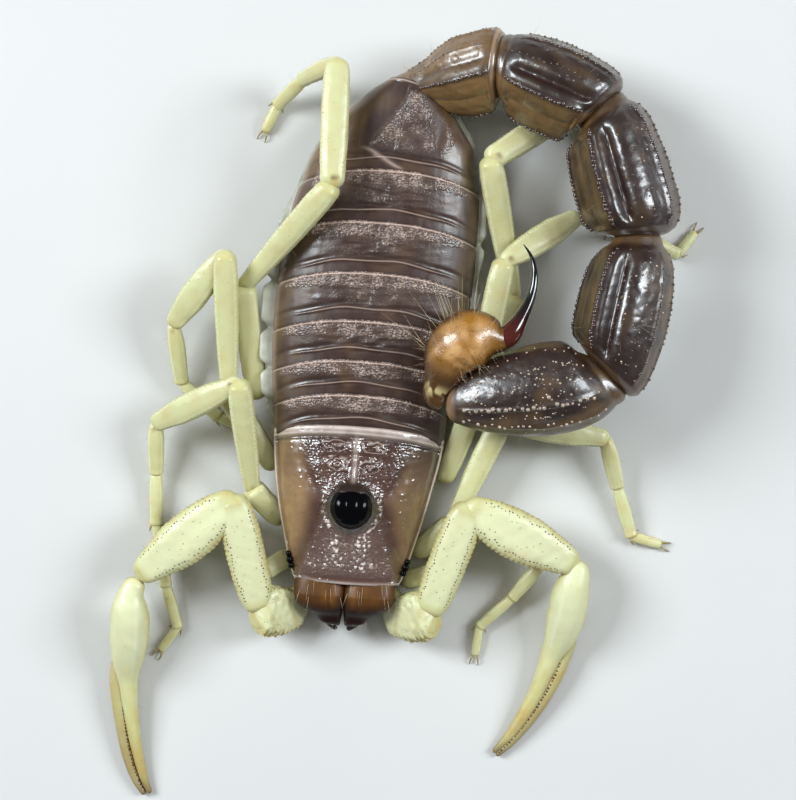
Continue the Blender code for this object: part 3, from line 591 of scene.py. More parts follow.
def rounded_box(turn, squareness):
    """Offsets across and up of a rounded box outline one unit in half size; turn 0 is its top."""
    power = 2.0 / squareness
    across = np.sign(np.sin(turn)) * np.abs(np.sin(turn)) ** power
    rising = np.sign(np.cos(turn)) * np.abs(np.cos(turn)) ** power
    return across, rising


def blank(t):
    """Zeros, one for each t."""
    return np.zeros(np.shape(t))


def spike(thick, taper, power, near, dark, tone=0.0):
    """Shape of a round spike that thins to its point and darkens from dark[0] by dark[1] on the way."""

    def shape(t, turn):
        size = thick * (1.0 - taper * t ** power) * rounded(t, near, 0.05)
        fields = {"dark": dark[0] + dark[1] * t, "tone": tone}
        return size * np.sin(turn), size * np.cos(turn), fields

    return shape


# ---------------------------------------------------------------- finishes

def wire(tree, kind, settings=None, inputs=None):
    """Add a node; an input is a number, a colour or the socket that feeds it."""
    node = tree.nodes.new(kind)
    for key, value in (settings or {}).items():
        setattr(node, key, value)
    for key, value in (inputs or {}).items():
        if isinstance(value, bpy.types.NodeSocket):
            tree.links.new(value, node.inputs[key])
        else:
            node.inputs[key].default_value = value
    return node


def opaque(colour):
    """A colour with full cover."""
    return (*colour, 1.0)


def mixed(tree, share, first, second):
    """Colour between two others."""
    return wire(tree, "ShaderNodeMix", {"data_type": "RGBA"}, {0: share, 6: first, 7: second}).outputs[2]


def reckon(tree, operation, first, second, clamp=False):
    """Arithmetic on two numbers."""
    return wire(tree, "ShaderNodeMath", {"operation": operation, "use_clamp": clamp},
                {0: first, 1: second}).outputs[0]


def new_group(name, sockets, outputs):
    """An empty shader group, what it is given and what it puts out; a socket is (name, kind, default)."""
    group = bpy.data.node_groups.new(name, "ShaderNodeTree")
    for title, kind, default in sockets:
        socket = group.interface.new_socket(title, in_out="INPUT", socket_type=kind)
        if default is not None:
            socket.default_value = default
    for title, kind in outputs:
        group.interface.new_socket(title, in_out="OUTPUT", socket_type=kind)
    return group, group.nodes.new("NodeGroupInput").outputs, group.nodes.new("NodeGroupOutput").inputs


def mottle_group():
    """Cloudy shell colour: soft patches and small freckles over a base colour."""
    found = bpy.data.node_groups.get("Shell mottle")
    if found:
        return found
    group, given, result = new_group("Shell mottle", (
        ("Vector", "NodeSocketVector", None),
        ("Color", "NodeSocketColor", (0.5, 0.5, 0.5, 1.0)),
        ("Patch Color", "NodeSocketColor", (0.3, 0.3, 0.3, 1.0)),
        ("Freckle Color", "NodeSocketColor", (0.1, 0.1, 0.1, 1.0)),
        ("Patch Scale", "NodeSocketFloat", 700.0),
        ("Patch Amount", "NodeSocketFloat", 0.5),
        ("Freckle Scale", "NodeSocketFloat", 4000.0),
        ("Freckle Amount", "NodeSocketFloat", 0.2),
    ), (("Color", "NodeSocketColor"), ("Mask", "NodeSocketFloat")))
    clouds = wire(group, "ShaderNodeTexNoise", None, {
        "Vector": given["Vector"], "Scale": given["Patch Scale"], "Detail": 4.0, "Roughness": 0.6})
    patches = wire(group, "ShaderNodeMapRange", None, {
        "Value": clouds.outputs["Fac"], "From Min": 0.38, "From Max": 0.68})
    patch_share = reckon(group, "MULTIPLY", patches.outputs[0], given["Patch Amount"])
    colour = mixed(group, patch_share, given["Color"], given["Patch Color"])
    specks = wire(group, "ShaderNodeTexNoise", None, {
        "Vector": given["Vector"], "Scale": given["Freckle Scale"], "Detail": 2.0})
    freckles = wire(group, "ShaderNodeMapRange", None, {
        "Value": specks.outputs["Fac"], "From Min": 0.55, "From Max": 0.72})
    freckle_share = reckon(group, "MULTIPLY", freckles.outputs[0], given["Freckle Amount"])
    colour = mixed(group, freckle_share, colour, given["Freckle Color"])
    group.links.new(colour, result["Color"])
    group.links.new(clouds.outputs["Fac"], result["Mask"])
    return group


def grain_group():
    """Small shell relief: shagreen where it is asked for, and faint pores everywhere."""
    found = bpy.data.node_groups.get("Shell relief")
    if found:
        return found
    group, given, result = new_group("Shell relief", (
        ("Vector", "NodeSocketVector", None),
        ("Mask", "NodeSocketFloat", 0.0),
        ("Grain Scale", "NodeSocketFloat", 6000.0),
        ("Pore Scale", "NodeSocketFloat", 9000.0),
        ("Pore Amount", "NodeSocketFloat", 0.15),
    ), (("Height", "NodeSocketFloat"), ("Tops", "NodeSocketFloat")))
    cells = wire(group, "ShaderNodeTexVoronoi", {"feature": "SMOOTH_F1"}, {
        "Vector": given["Vector"], "Scale": given["Grain Scale"], "Smoothness": 0.4})
    tops = wire(group, "ShaderNodeMapRange", None, {
        "Value": cells.outputs["Distance"], "From Min": 0.55, "From Max": 0.1})
    raised = reckon(group, "MULTIPLY", tops.outputs[0], given["Mask"])
    pores = wire(group, "ShaderNodeTexNoise", None, {
        "Vector": given["Vector"], "Scale": given["Pore Scale"], "Detail": 3.0})
    faint = reckon(group, "MULTIPLY", pores.outputs["Fac"], given["Pore Amount"])
    height = reckon(group, "ADD", raised, faint)
    group.links.new(height, result["Height"])
    # The grain tops go out too, for the finish to paint pale glints on.
    group.links.new(raised, result["Tops"])
    return group


def make_finish(name, base, tone, dark, pale, patch=None, patch_amount=0.35, patch_scale=900.0,
                freckle=0.12, roughness=0.35, grain_scale=6500.0, depth=0.03, pores=0.12, coat=0.0,
                glow=0.0, tops=0.0, specular=0.5):
    """A shell finish; its painted fields choose between the base, tone, dark and pale colours."""
    material = bpy.data.materials.new(name)
    material.use_nodes = True
    tree = material.node_tree
    shader = tree.nodes["Principled BSDF"]
    place = wire(tree, "ShaderNodeTexCoord").outputs["Object"]
    fields = {field: wire(tree, "ShaderNodeAttribute", {"attribute_name": field}).outputs["Fac"]
              for field in FIELDS}
    ground = mixed(tree, fields["tone"], opaque(base), opaque(tone))
    mottle = wire(tree, "ShaderNodeGroup", {"node_tree": mottle_group()}, {
        "Vector": place, "Color": ground, "Patch Color": opaque(patch or dark), "Freckle Color": opaque(dark),
        "Patch Scale": patch_scale, "Patch Amount": patch_amount, "Freckle Amount": freckle})
    relief = wire(tree, "ShaderNodeGroup", {"node_tree": grain_group()}, {
        "Vector": place, "Mask": fields["grain"], "Grain Scale": grain_scale, "Pore Amount": pores})
    colour = mixed(tree, fields["dark"], mottle.outputs["Color"], opaque(dark))
    # Pale on the tops of the small grains: pale grain tips with painted glints on them.
    glint_share = reckon(tree, "MULTIPLY", relief.outputs["Tops"], tops)
    pale_share = reckon(tree, "ADD", fields["pale"], glint_share, clamp=True)
    colour = mixed(tree, pale_share, colour, opaque(pale))
    tree.links.new(colour, shader.inputs["Base Color"])
    rough = wire(tree, "ShaderNodeMapRange", None, {
        "Value": mottle.outputs["Mask"], "From Min": 0.3, "From Max": 0.7,
        "To Min": roughness * 0.8, "To Max": roughness * 1.25})
    tree.links.new(rough.outputs[0], shader.inputs["Roughness"])
    bumps = wire(tree, "ShaderNodeBump", None, {
        "Height": relief.outputs["Height"], "Strength": 1.0, "Distance": depth * MM})
    tree.links.new(bumps.outputs["Normal"], shader.inputs["Normal"])
    shader.inputs["Specular IOR Level"].default_value = specular
    shader.inputs["Coat Weight"].default_value = coat
    shader.inputs["Coat Roughness"].default_value = 0.12
    if glow > 0.0:
        shader.inputs["Subsurface Weight"].default_value = glow
        shader.inputs["Subsurface Radius"].default_value = (1.0, 0.8, 0.4)
        shader.inputs["Subsurface Scale"].default_value = 0.5 * MM
    return material


def finish(name):
    """The finish of that name, made the first time that it is asked for."""
    found = bpy.data.materials.get(name)
    if found:
        return found
    settings = bpy.context.scene.scorpion_colours
    recipe = {}
    for key, value in FINISHES[name].items():
        if isinstance(value, str):
            value = tuple(getattr(settings, value))
        elif isinstance(value, tuple):
            value = linear(*value)
        recipe[key] = value
    return make_finish(name, **recipe)


# ---------------------------------------------------------------- beads and bristles

class Scatter:
    """Places, facings and sizes gathered from the pieces, for beads or bristles to be set on."""

    def __init__(self):
        self.places = []
        self.facings = []
        self.sizes = []
        self.tones = []
        self.patches = []

    def add(self, places, facings, sizes, tones=0.0, patch=(0.0, 0.0)):
        """Add points in millimetres with the outward direction and the size at each."""
        places = np.asarray(places, float).reshape(-1, 3)
        count = len(places)
        self.places.append(places)
        self.facings.append(np.broadcast_to(facings, (count, 3)))
        self.sizes.append(np.broadcast_to(np.asarray(sizes, float), (count,)))
        self.tones.append(np.broadcast_to(np.asarray(tones, float), (count,)))
        self.patches.append(np.broadcast_to(np.asarray(patch, float), (count, 2)))

    def seed_mesh(self, name):
        """A mesh of loose points that carries the gathered values."""
        points = np.concatenate(self.places) * MM + ORIGIN
        mesh = bpy.data.meshes.new(name)
        mesh.vertices.add(len(points))
        mesh.vertices.foreach_set("co", points.astype(np.float32).ravel())
        facing = mesh.attributes.new("facing", "FLOAT_VECTOR", "POINT")
        facing.data.foreach_set("vector", np.concatenate(self.facings).astype(np.float32).ravel())
        for title, values in (("size", self.sizes), ("tone", self.tones)):
            attribute = mesh.attributes.new(title, "FLOAT", "POINT")
            attribute.data.foreach_set("value", np.concatenate(values).astype(np.float32))
        patch = np.zeros((len(points), 3), np.float32)
        patch[:, :2] = np.concatenate(self.patches)
        root = mesh.attributes.new("root_patch", "FLOAT_VECTOR", "POINT")
        root.data.foreach_set("vector", patch.ravel())
        return show(name, mesh)


def scatter_tree(name, shape_inputs, make_shape):
    """A node tree that sets one small shape on every point, turned to its facing and scaled to its size."""
    tree = bpy.data.node_groups.new(name, "GeometryNodeTree")
    tree.interface.new_socket("Geometry", in_out="INPUT", socket_type="NodeSocketGeometry")
    for title, kind, default in shape_inputs:
        tree.interface.new_socket(title, in_out="INPUT", socket_type=kind).default_value = default
    tree.interface.new_socket("Finish", in_out="INPUT", socket_type="NodeSocketMaterial")
    tree.interface.new_socket("Geometry", in_out="OUTPUT", socket_type="NodeSocketGeometry")
    given = tree.nodes.new("NodeGroupInput").outputs
    result = tree.nodes.new("NodeGroupOutput").inputs
    shape, scale = make_shape(tree, given)
    facing = wire(tree, "GeometryNodeInputNamedAttribute", {"data_type": "FLOAT_VECTOR"}, {"Name": "facing"})
    turned = wire(tree, "FunctionNodeAlignRotationToVector", {"axis": "Z"}, {"Vector": facing.outputs[0]})
    placed = wire(tree, "GeometryNodeInstanceOnPoints", None, {
        "Points": given["Geometry"], "Instance": shape,
        "Rotation": turned.outputs[0], "Scale": scale})
    real = wire(tree, "GeometryNodeRealizeInstances", None, {"Geometry": placed.outputs[0]})
    painted = wire(tree, "GeometryNodeSetMaterial", None, {
        "Geometry": real.outputs[0], "Material": given["Finish"]})
    tree.links.new(painted.outputs[0], result[0])
    return tree


def bead_shape(tree, given):
    """A small round bead."""
    ball = wire(tree, "GeometryNodeMeshUVSphere", None, {"Segments": 8, "Rings": 6, "Radius": 1.0})
    smooth = wire(tree, "GeometryNodeSetShadeSmooth", None, {"Geometry": ball.outputs[0]})
    size = wire(tree, "GeometryNodeInputNamedAttribute", {"data_type": "FLOAT"}, {"Name": "size"}).outputs[0]
    metres = reckon(tree, "MULTIPLY", size, given["Bead Scale"])
    scale = wire(tree, "ShaderNodeCombineXYZ", None, {0: metres, 1: metres, 2: metres})
    return smooth.outputs[0], scale.outputs[0]


def bristle_shape(tree, given):
    """A thin tapering bristle that bends a little towards its tip."""
    cone = wire(tree, "GeometryNodeMeshCone", None, {
        "Vertices": 5, "Side Segments": 4, "Radius Top": 0.06, "Radius Bottom": 1.0, "Depth": 1.0})
    place = wire(tree, "GeometryNodeInputPosition")
    parts = wire(tree, "ShaderNodeSeparateXYZ", None, {0: place.outputs[0]})
    square = reckon(tree, "MULTIPLY", parts.outputs[2], parts.outputs[2])
    shift = wire(tree, "ShaderNodeCombineXYZ", None, {0: reckon(tree, "MULTIPLY", square, given["Bend"])})
    bent = wire(tree, "GeometryNodeSetPosition", None,
                {"Geometry": cone.outputs[0], "Offset": shift.outputs[0]})
    smooth = wire(tree, "GeometryNodeSetShadeSmooth", None, {"Geometry": bent.outputs[0]})
    size = wire(tree, "GeometryNodeInputNamedAttribute", {"data_type": "FLOAT"}, {"Name": "size"}).outputs[0]
    length = reckon(tree, "MULTIPLY", size, MM)
    width = reckon(tree, "MULTIPLY", reckon(tree, "POWER", size, 0.5), given["Thickness"])
    scale = wire(tree, "ShaderNodeCombineXYZ", None, {0: width, 1: width, 2: length})
    return smooth.outputs[0], scale.outputs[0]


def grow(scatter, name, tree_name, inputs, make_shape, material, values):
    """Set a shape on every gathered point and turn the result into a plain mesh object."""
    seed = scatter.seed_mesh(name + "_points")
    tree = bpy.data.node_groups.get(tree_name) or scatter_tree(tree_name, inputs, make_shape)
    modifier = seed.modifiers.new("Scatter", "NODES")
    modifier.node_group = tree
    for item in tree.interface.items_tree:
        if item.in_out == "INPUT" and item.name in values:
            modifier[item.identifier] = values[item.name]
        if item.in_out == "INPUT" and item.name == "Finish":
            modifier[item.identifier] = material
    bpy.context.view_layer.update()
    evaluated = seed.evaluated_get(bpy.context.evaluated_depsgraph_get())
    mesh = bpy.data.meshes.new_from_object(evaluated)
    mesh.name = name
    seed.modifiers.clear()
    bpy.data.objects.remove(seed)
    if not mesh.materials:
        mesh.materials.append(material)
    for field in FIELDS:
        if field not in mesh.attributes:
            mesh.attributes.new(field, "FLOAT", "POINT")
    return show(name, mesh)


BEAD_INPUTS = (("Bead Scale", "NodeSocketFloat", MM),)
BRISTLE_INPUTS = (("Thickness", "NodeSocketFloat", 0.00002), ("Bend", "NodeSocketFloat", 4.0))


def grow_beads(scatter, name, finish_name, slot):
    """Beads on every gathered point."""
    thing = grow(scatter, name, "Beads on points", BEAD_INPUTS, bead_shape, finish(finish_name),
                 {"Bead Scale": MM})
    settle(thing, slot)


def grow_bristles(scatter, name, slot):
    """Bristles on every gathered point, with the map that gives each its own small patch."""
    sizes = bpy.context.scene.scorpion_sizes
    thing = grow(scatter, name, "Bristles on points", BRISTLE_INPUTS, bristle_shape, finish("Bristle"),
                 {"Thickness": sizes.bristle_thickness, "Bend": sizes.bristle_bend})
    mesh = thing.data
    roots = np.zeros(len(mesh.vertices) * 3, np.float32)
    mesh.attributes["root_patch"].data.foreach_get("vector", roots)
    roots = roots.reshape(-1, 3)[:, :2]
    corners = np.zeros(len(mesh.loops), np.int32)
    mesh.loops.foreach_get("vertex_index", corners)
    per_bristle = max(len(mesh.vertices) // max(len(np.concatenate(scatter.places)), 1), 1)
    local = corners % per_bristle
    offset = together((local % 5) / 5.0, (local // 5) / 5.0) * 0.003
    layer = mesh.uv_layers.new(name="OFBake")
    layer.data.foreach_set("uv", held(roots[corners] + offset).astype(np.float32).ravel())
    settle(thing, slot)


TAIL_BEADS = Scatter()
LIMB_BEADS = Scatter()
BRISTLES = {"tail": Scatter(), "arms": Scatter(), "legs": Scatter(), "head": Scatter()}


def sprinkle(tube, group, count, length, seed, strip, reach=(0.05, 0.95), tone=0.5):
    """Bristles at random places of a tube; strip is its own strip of the bristle map."""
    rng = np.random.default_rng(seed)
    t = rng.uniform(*reach, count)
    turn = rng.uniform(0.0, math.tau, count)
    places = tube.at(t, turn)
    outward = tube.facing(t, turn)
    along = unit(tube.path[-1] - tube.path[0])
    facings = unit(outward + BRISTLE_LEAN * along + 0.25 * rng.normal(size=(count, 3)))
    patches = together(t * 0.98, (strip + (turn % math.tau) / math.tau) / BRISTLE_STRIPS)
    sizes = length * rng.uniform(0.5, 1.2, count)
    for k in range(count):
        # A bristle whose tip would reach the floor is left out.
        if places[k][2] + (facings[k][2] - 0.25) * sizes[k] > 0.05:
            BRISTLES[group].add(places[k] - outward[k] * 0.02, facings[k], sizes[k], tone, patches[k])


def bead_row(tube, beads, count, turn, size, seed, reach=(0.1, 0.92), tone=0.0, jitter=0.02, sink=0.35):
    """A row of beads along a tube, at one turn round it."""
    rng = np.random.default_rng(seed)
    t = np.linspace(*reach, count) + rng.normal(0.0, 0.004, count)
    angle = turn + rng.normal(0.0, jitter, count)
    places = tube.at(t, angle)
    outward = tube.facing(t, angle)
    sizes = size * rng.uniform(0.75, 1.2, count)
    beads.add(places - outward * (sizes * sink)[:, None], outward, sizes, tone)


# ---------------------------------------------------------------- head shield and eyes

def shield_surface(u, v):
    """Top of the head shield: u across from -1 to 1, v from its front edge to its rear edge."""
    y = SHIELD_Y[0] + (SHIELD_Y[1] - SHIELD_Y[0]) * v
    half = through(y, SHIELD_HALF_WIDTHS)
    x = u * half + 0.1 * step(v, 0.5, 1.0)
    side = np.abs(u)
    bow_front = -0.12 * (1.0 - side ** 2) * fall(v, 0.0, 0.3)
    bow_rear = (0.22 - 0.5 * side ** 2.4) * step(v, 0.6, 1.0)
    y = y + bow_front + bow_rear
    crown = through(y, SHIELD_CROWN)
    arch = (1.0 - side ** 2.5) ** 0.72
    z = SHIELD_RIM_Z + (crown - SHIELD_RIM_Z) * arch
    places = together(x, y, z)
    wide = np.abs(x)
    radius = np.sqrt(x ** 2 + (y * 0.98) ** 2)
    # Eye hill with its sloping foot.
    hill = fall(radius, EYE_HILL_RADIUS - 0.44, EYE_HILL_RADIUS + 0.42)
    z = z + EYE_HILL_HEIGHT * hill + 0.1 * bump(radius, 1.5, 0.5)
    # Broad furrow behind the hill, forked at its rear, with three pairs of curled swellings beside it.
    behind = step(y, 1.3, 1.7) * fall(y, 4.0, 4.4)
    z = z - 0.2 * bump(x, 0.0, 0.2 + 0.22 * step(y, 3.2, 4.2)) * behind
    z = z - 0.1 * bump(y, 3.1 - 0.1 * wide, 0.16) * fall(wide, 1.6, 2.2)
    curls = blank(x)
    for k, (cx, cy, rx, ry) in enumerate(SHIELD_CURLS):
        ring = np.sqrt(((wide - cx) / rx) ** 2 + ((y - cy) / ry) ** 2)
        z = z + 0.13 * np.exp(-ring ** 2)
        wobble = 1.5 * waves(places, 0.9, 71 + k) + 1.3 * waves(places, 0.42, 81 + k)
        curls = curls + np.sin(ring * 9.5 + wobble) * fall(ring, 0.9, 1.5)
    zone = behind * (1.0 - 0.8 * bump(x, 0.0, 0.16))
    z = z + 0.06 * curls * zone
    # Front field between two low ridges that spread from the hill to the front corners.
    ridge_x = 1.4 + (-0.4 - y) * 0.37
    ahead = fall(y, -0.6, 0.6)
    inside = fall(wide, ridge_x - 0.1, ridge_x + 0.35)
    z = z + 0.06 * bump(wide, ridge_x, 0.24) * ahead * step(y, -4.4, -3.4)
    z = z - 0.2 * bump(wide, ridge_x + 0.8, 0.55) * ahead
    z = z + 0.13 * bump(wide, 0.75, 0.4) * bump(y, -2.3, 0.95)
    z = z - 0.12 * bump(x, 0.0, 0.3) * bump(y, -1.8, 0.7)
    z = z + 0.1 * bump(x, 0.0, 0.16) * bump(y, -3.5, 0.6)
    # Grooves over the sides and the raised rims.
    z = z - 0.1 * bump(wide - 0.5 * (y - 1.0), 2.35, 0.3) * bump(y, 1.7, 1.0)
    z = z + 0.07 * bump(side, 0.975, 0.014) - 0.07 * bump(side, 0.94, 0.022)
    z = z + 0.13 * step(v, 0.935, 0.955) - 0.09 * bump(v, 0.925, 0.013) - 0.06 * step(v, 0.985, 1.0)
    z = z + 0.06 * bump(v, 0.016, 0.01) - 0.03 * bump(v, 0.04, 0.012)
    # Grains: large in the front field and beside the eyes, fine round the curls and thinning out sideways.
    front = inside * ahead * step(y, -4.5, -4.2)
    clumps = 0.45 + 0.55 * held(bump(wide, 0.75, 0.62) * bump(y, -2.5, 0.95) + 0.4 * bump(y, -3.6, 0.5))
    brow = bump(radius, 1.7, 0.26) * fall(np.abs(y), 1.5, 2.1) * step(wide, 0.7, 1.1)
    fan = step(y, 0.6, 1.6) * fall(y, 4.05, 4.2) * fall(wide, 1.75 + 0.28 * y, 2.6 + 0.28 * y)
    margin = bump(v, 0.075, 0.025) * fall(side, 0.85, 0.95)
    mask = np.maximum.reduce((front * clumps, 0.95 * brow, 0.55 * fan * (1.0 - 0.75 * held(np.abs(curls))),
                              0.6 * bump(wide, ridge_x, 0.2) * ahead, 0.6 * margin))
    mask = held(mask * (radius > EYE_HILL_RADIUS + 0.08) * (1.0 - bump(x, 0.0, 0.22) * behind))
    coarse = grains(x + 0.04 * waves(places, 0.6, 14), y, 0.27, 11, 0.46, 0.85)
    fine = grains(x + 0.05, y, 0.16, 12, 0.44, 0.8)
    strength = mask * np.maximum(coarse * step(mask, 0.45, 0.8), 0.55 * fine)
    sparse = grains(x, y, 0.34, 13, 0.3, 0.3) * fall(side, 0.75, 0.86) * (radius > 1.6)
    z = z + 0.11 * strength + 0.03 * sparse + 0.012 * waves(places, 0.9, 16)
    lateral = step(wide - (1.75 + 0.16 * np.abs(y - 0.3)), 0.1, 1.5)
    hill_dark = fall(radius, EYE_HILL_RADIUS - 0.02, EYE_HILL_RADIUS + 0.36)
    lines = 0.75 * bump(v, 0.985, 0.012) + 0.6 * bump(v, 0.95, 0.01) + 0.3 * bump(v, 0.965, 0.03)
    rims = np.maximum(0.9 * bump(side, 0.985, 0.01), lines * (0.85 + 0.12 * waves(places, 0.9, 17)))
    rims = np.maximum(rims, 0.6 * bump(v, 0.01, 0.008))
    # Pale flecks on the grains: pale granule tips with painted glints on them.
    glint_flecks = 0.9 * step(strength + 0.16 * waves(places, 0.4, 18), 0.36, 0.66) * (0.3 + 0.7 * front)
    fields = {
        "tone": lateral * (1.0 - 0.3 * step(y, 0.5, 4.0)) + 0.1 * waves(places, 2.2, 5),
        # Painted shade in the dark field: grooves, hollows, curl troughs, grain gaps and the left side field.
        "dark": (hill_dark + 0.4 * lateral * step(x, 1.0, 3.5)
                 + 0.3 * step(y, 0.5, 3.5) * step(wide, 1.6, 2.6) + 0.5 * bump(v, 0.92, 0.01)
                 + 0.3 * bump(side, 0.94, 0.02) + 0.35 * bump(wide, ridge_x + 0.5, 0.35) * ahead
                 + 0.5 * held(-curls) * zone + 0.6 * mask * fall(strength, 0.05, 0.35)),
        # Painted light in pale: highlights on curl ridges, a gloss strip in the furrow and glints on the
        # grains.
        "pale": (rims + 0.3 * strength ** 2 + 0.1 * front * clumps + glint_flecks
                 + 0.42 * bump(x, 0.0, 0.15) * behind + 0.45 * held(curls - 0.2) * zone * step(y, 1.6, 2.4)),
        "grain": 0.6 * mask,
    }
    return together(x, y, z), fields


def shell_rings(top, fields, low_z, inset, under_columns):
    """Close a plate: its rows run over the top and back along a flat underside."""
    rows, columns = top.shape[:2]
    chosen = np.linspace(columns - 1, 0, under_columns).round().astype(int)
    under = top[:, chosen].copy()
    centre = top[:, :1, 0] * 0.5 + top[:, -1:, 0] * 0.5
    under[..., 0] = centre + (under[..., 0] - centre) * inset
    under[..., 2] = np.minimum(np.maximum(under[..., 2] - 0.5, low_z), under[..., 2] - 0.05)
    grid = np.concatenate((top, under), axis=1)
    painted = {}
    for name, values in fields.items():
        values = held(np.broadcast_to(values, (rows, columns)))
        painted[name] = np.concatenate((values, values[:, chosen] * (0.3 if name == "pale" else 1.0)), axis=1)
    painted["grain"][:, columns:] = 0.0
    return grid, painted


def build_shield():
    """Head shield with its furrows, grains, rims and the dark eye hill."""
    rows, columns = SHIELD_GRID
    u = np.sin(np.linspace(-0.5, 0.5, columns) * math.pi * 0.93)
    v, u = np.meshgrid(np.linspace(0.0, 1.0, rows), u, indexing="ij")
    u = u / u.max()
    top, fields = shield_surface(u, v)
    skin = Skin()
    skin.add(*shell_rings(top, fields, SHIELD_UNDERSIDE_Z, 0.96, 36))
    skin.build("head_shield", "Shield shell", "shell", "carapace")


def dome(centre, radii, tilt=(0.0, 0.0, 1.0), rings=26, sides=44):
    """A rounded lens on an ellipsoid, as rows of points."""
    angle = np.linspace(-0.45 * math.pi, 0.499 * math.pi, rings)
    turn = np.linspace(0.0, math.tau, sides, endpoint=False)
    rise, turn = np.meshgrid(angle, turn, indexing="ij")
    local = together(radii[0] * np.cos(rise) * np.cos(turn), radii[1] * np.cos(rise) * np.sin(turn),
                     radii[2] * np.sin(rise))
    axis = unit(np.array(tilt, float))
    side = unit(np.cross((0.0, 1.0, 0.0), axis))
    ahead = np.cross(axis, side)
    return np.array(centre, float) + local @ np.stack((side, ahead, axis))


def build_eyes():
    """Two large middle eyes on the hill, and a row of three small ones at each front corner."""
    for side, sign in SIDES:
        skin = Skin()
        for (out, y, z), radii, tilt in EYE_DOMES:
            skin.add(dome((sign * out, y, z), radii, (sign * tilt, 0.0, 1.0)))
        skin.build(f"middle_eye_{side}", "Eye lens", "eye", f"median_eye_{side}")
        skin = Skin()
        for y, size in CORNER_EYES:
            x = through(y, SHIELD_HALF_WIDTHS) - 0.1
            tilt = (sign * 0.8, 0.0, 1.0)
            skin.add(dome((sign * x, y, CORNER_EYES_Z), (size, size * 1.15, size), tilt, rings=14, sides=22))
        skin.build(f"corner_eyes_{side}", "Eye lens", "eye", f"lateral_eyes_{side}")


# ---------------------------------------------------------------- trunk

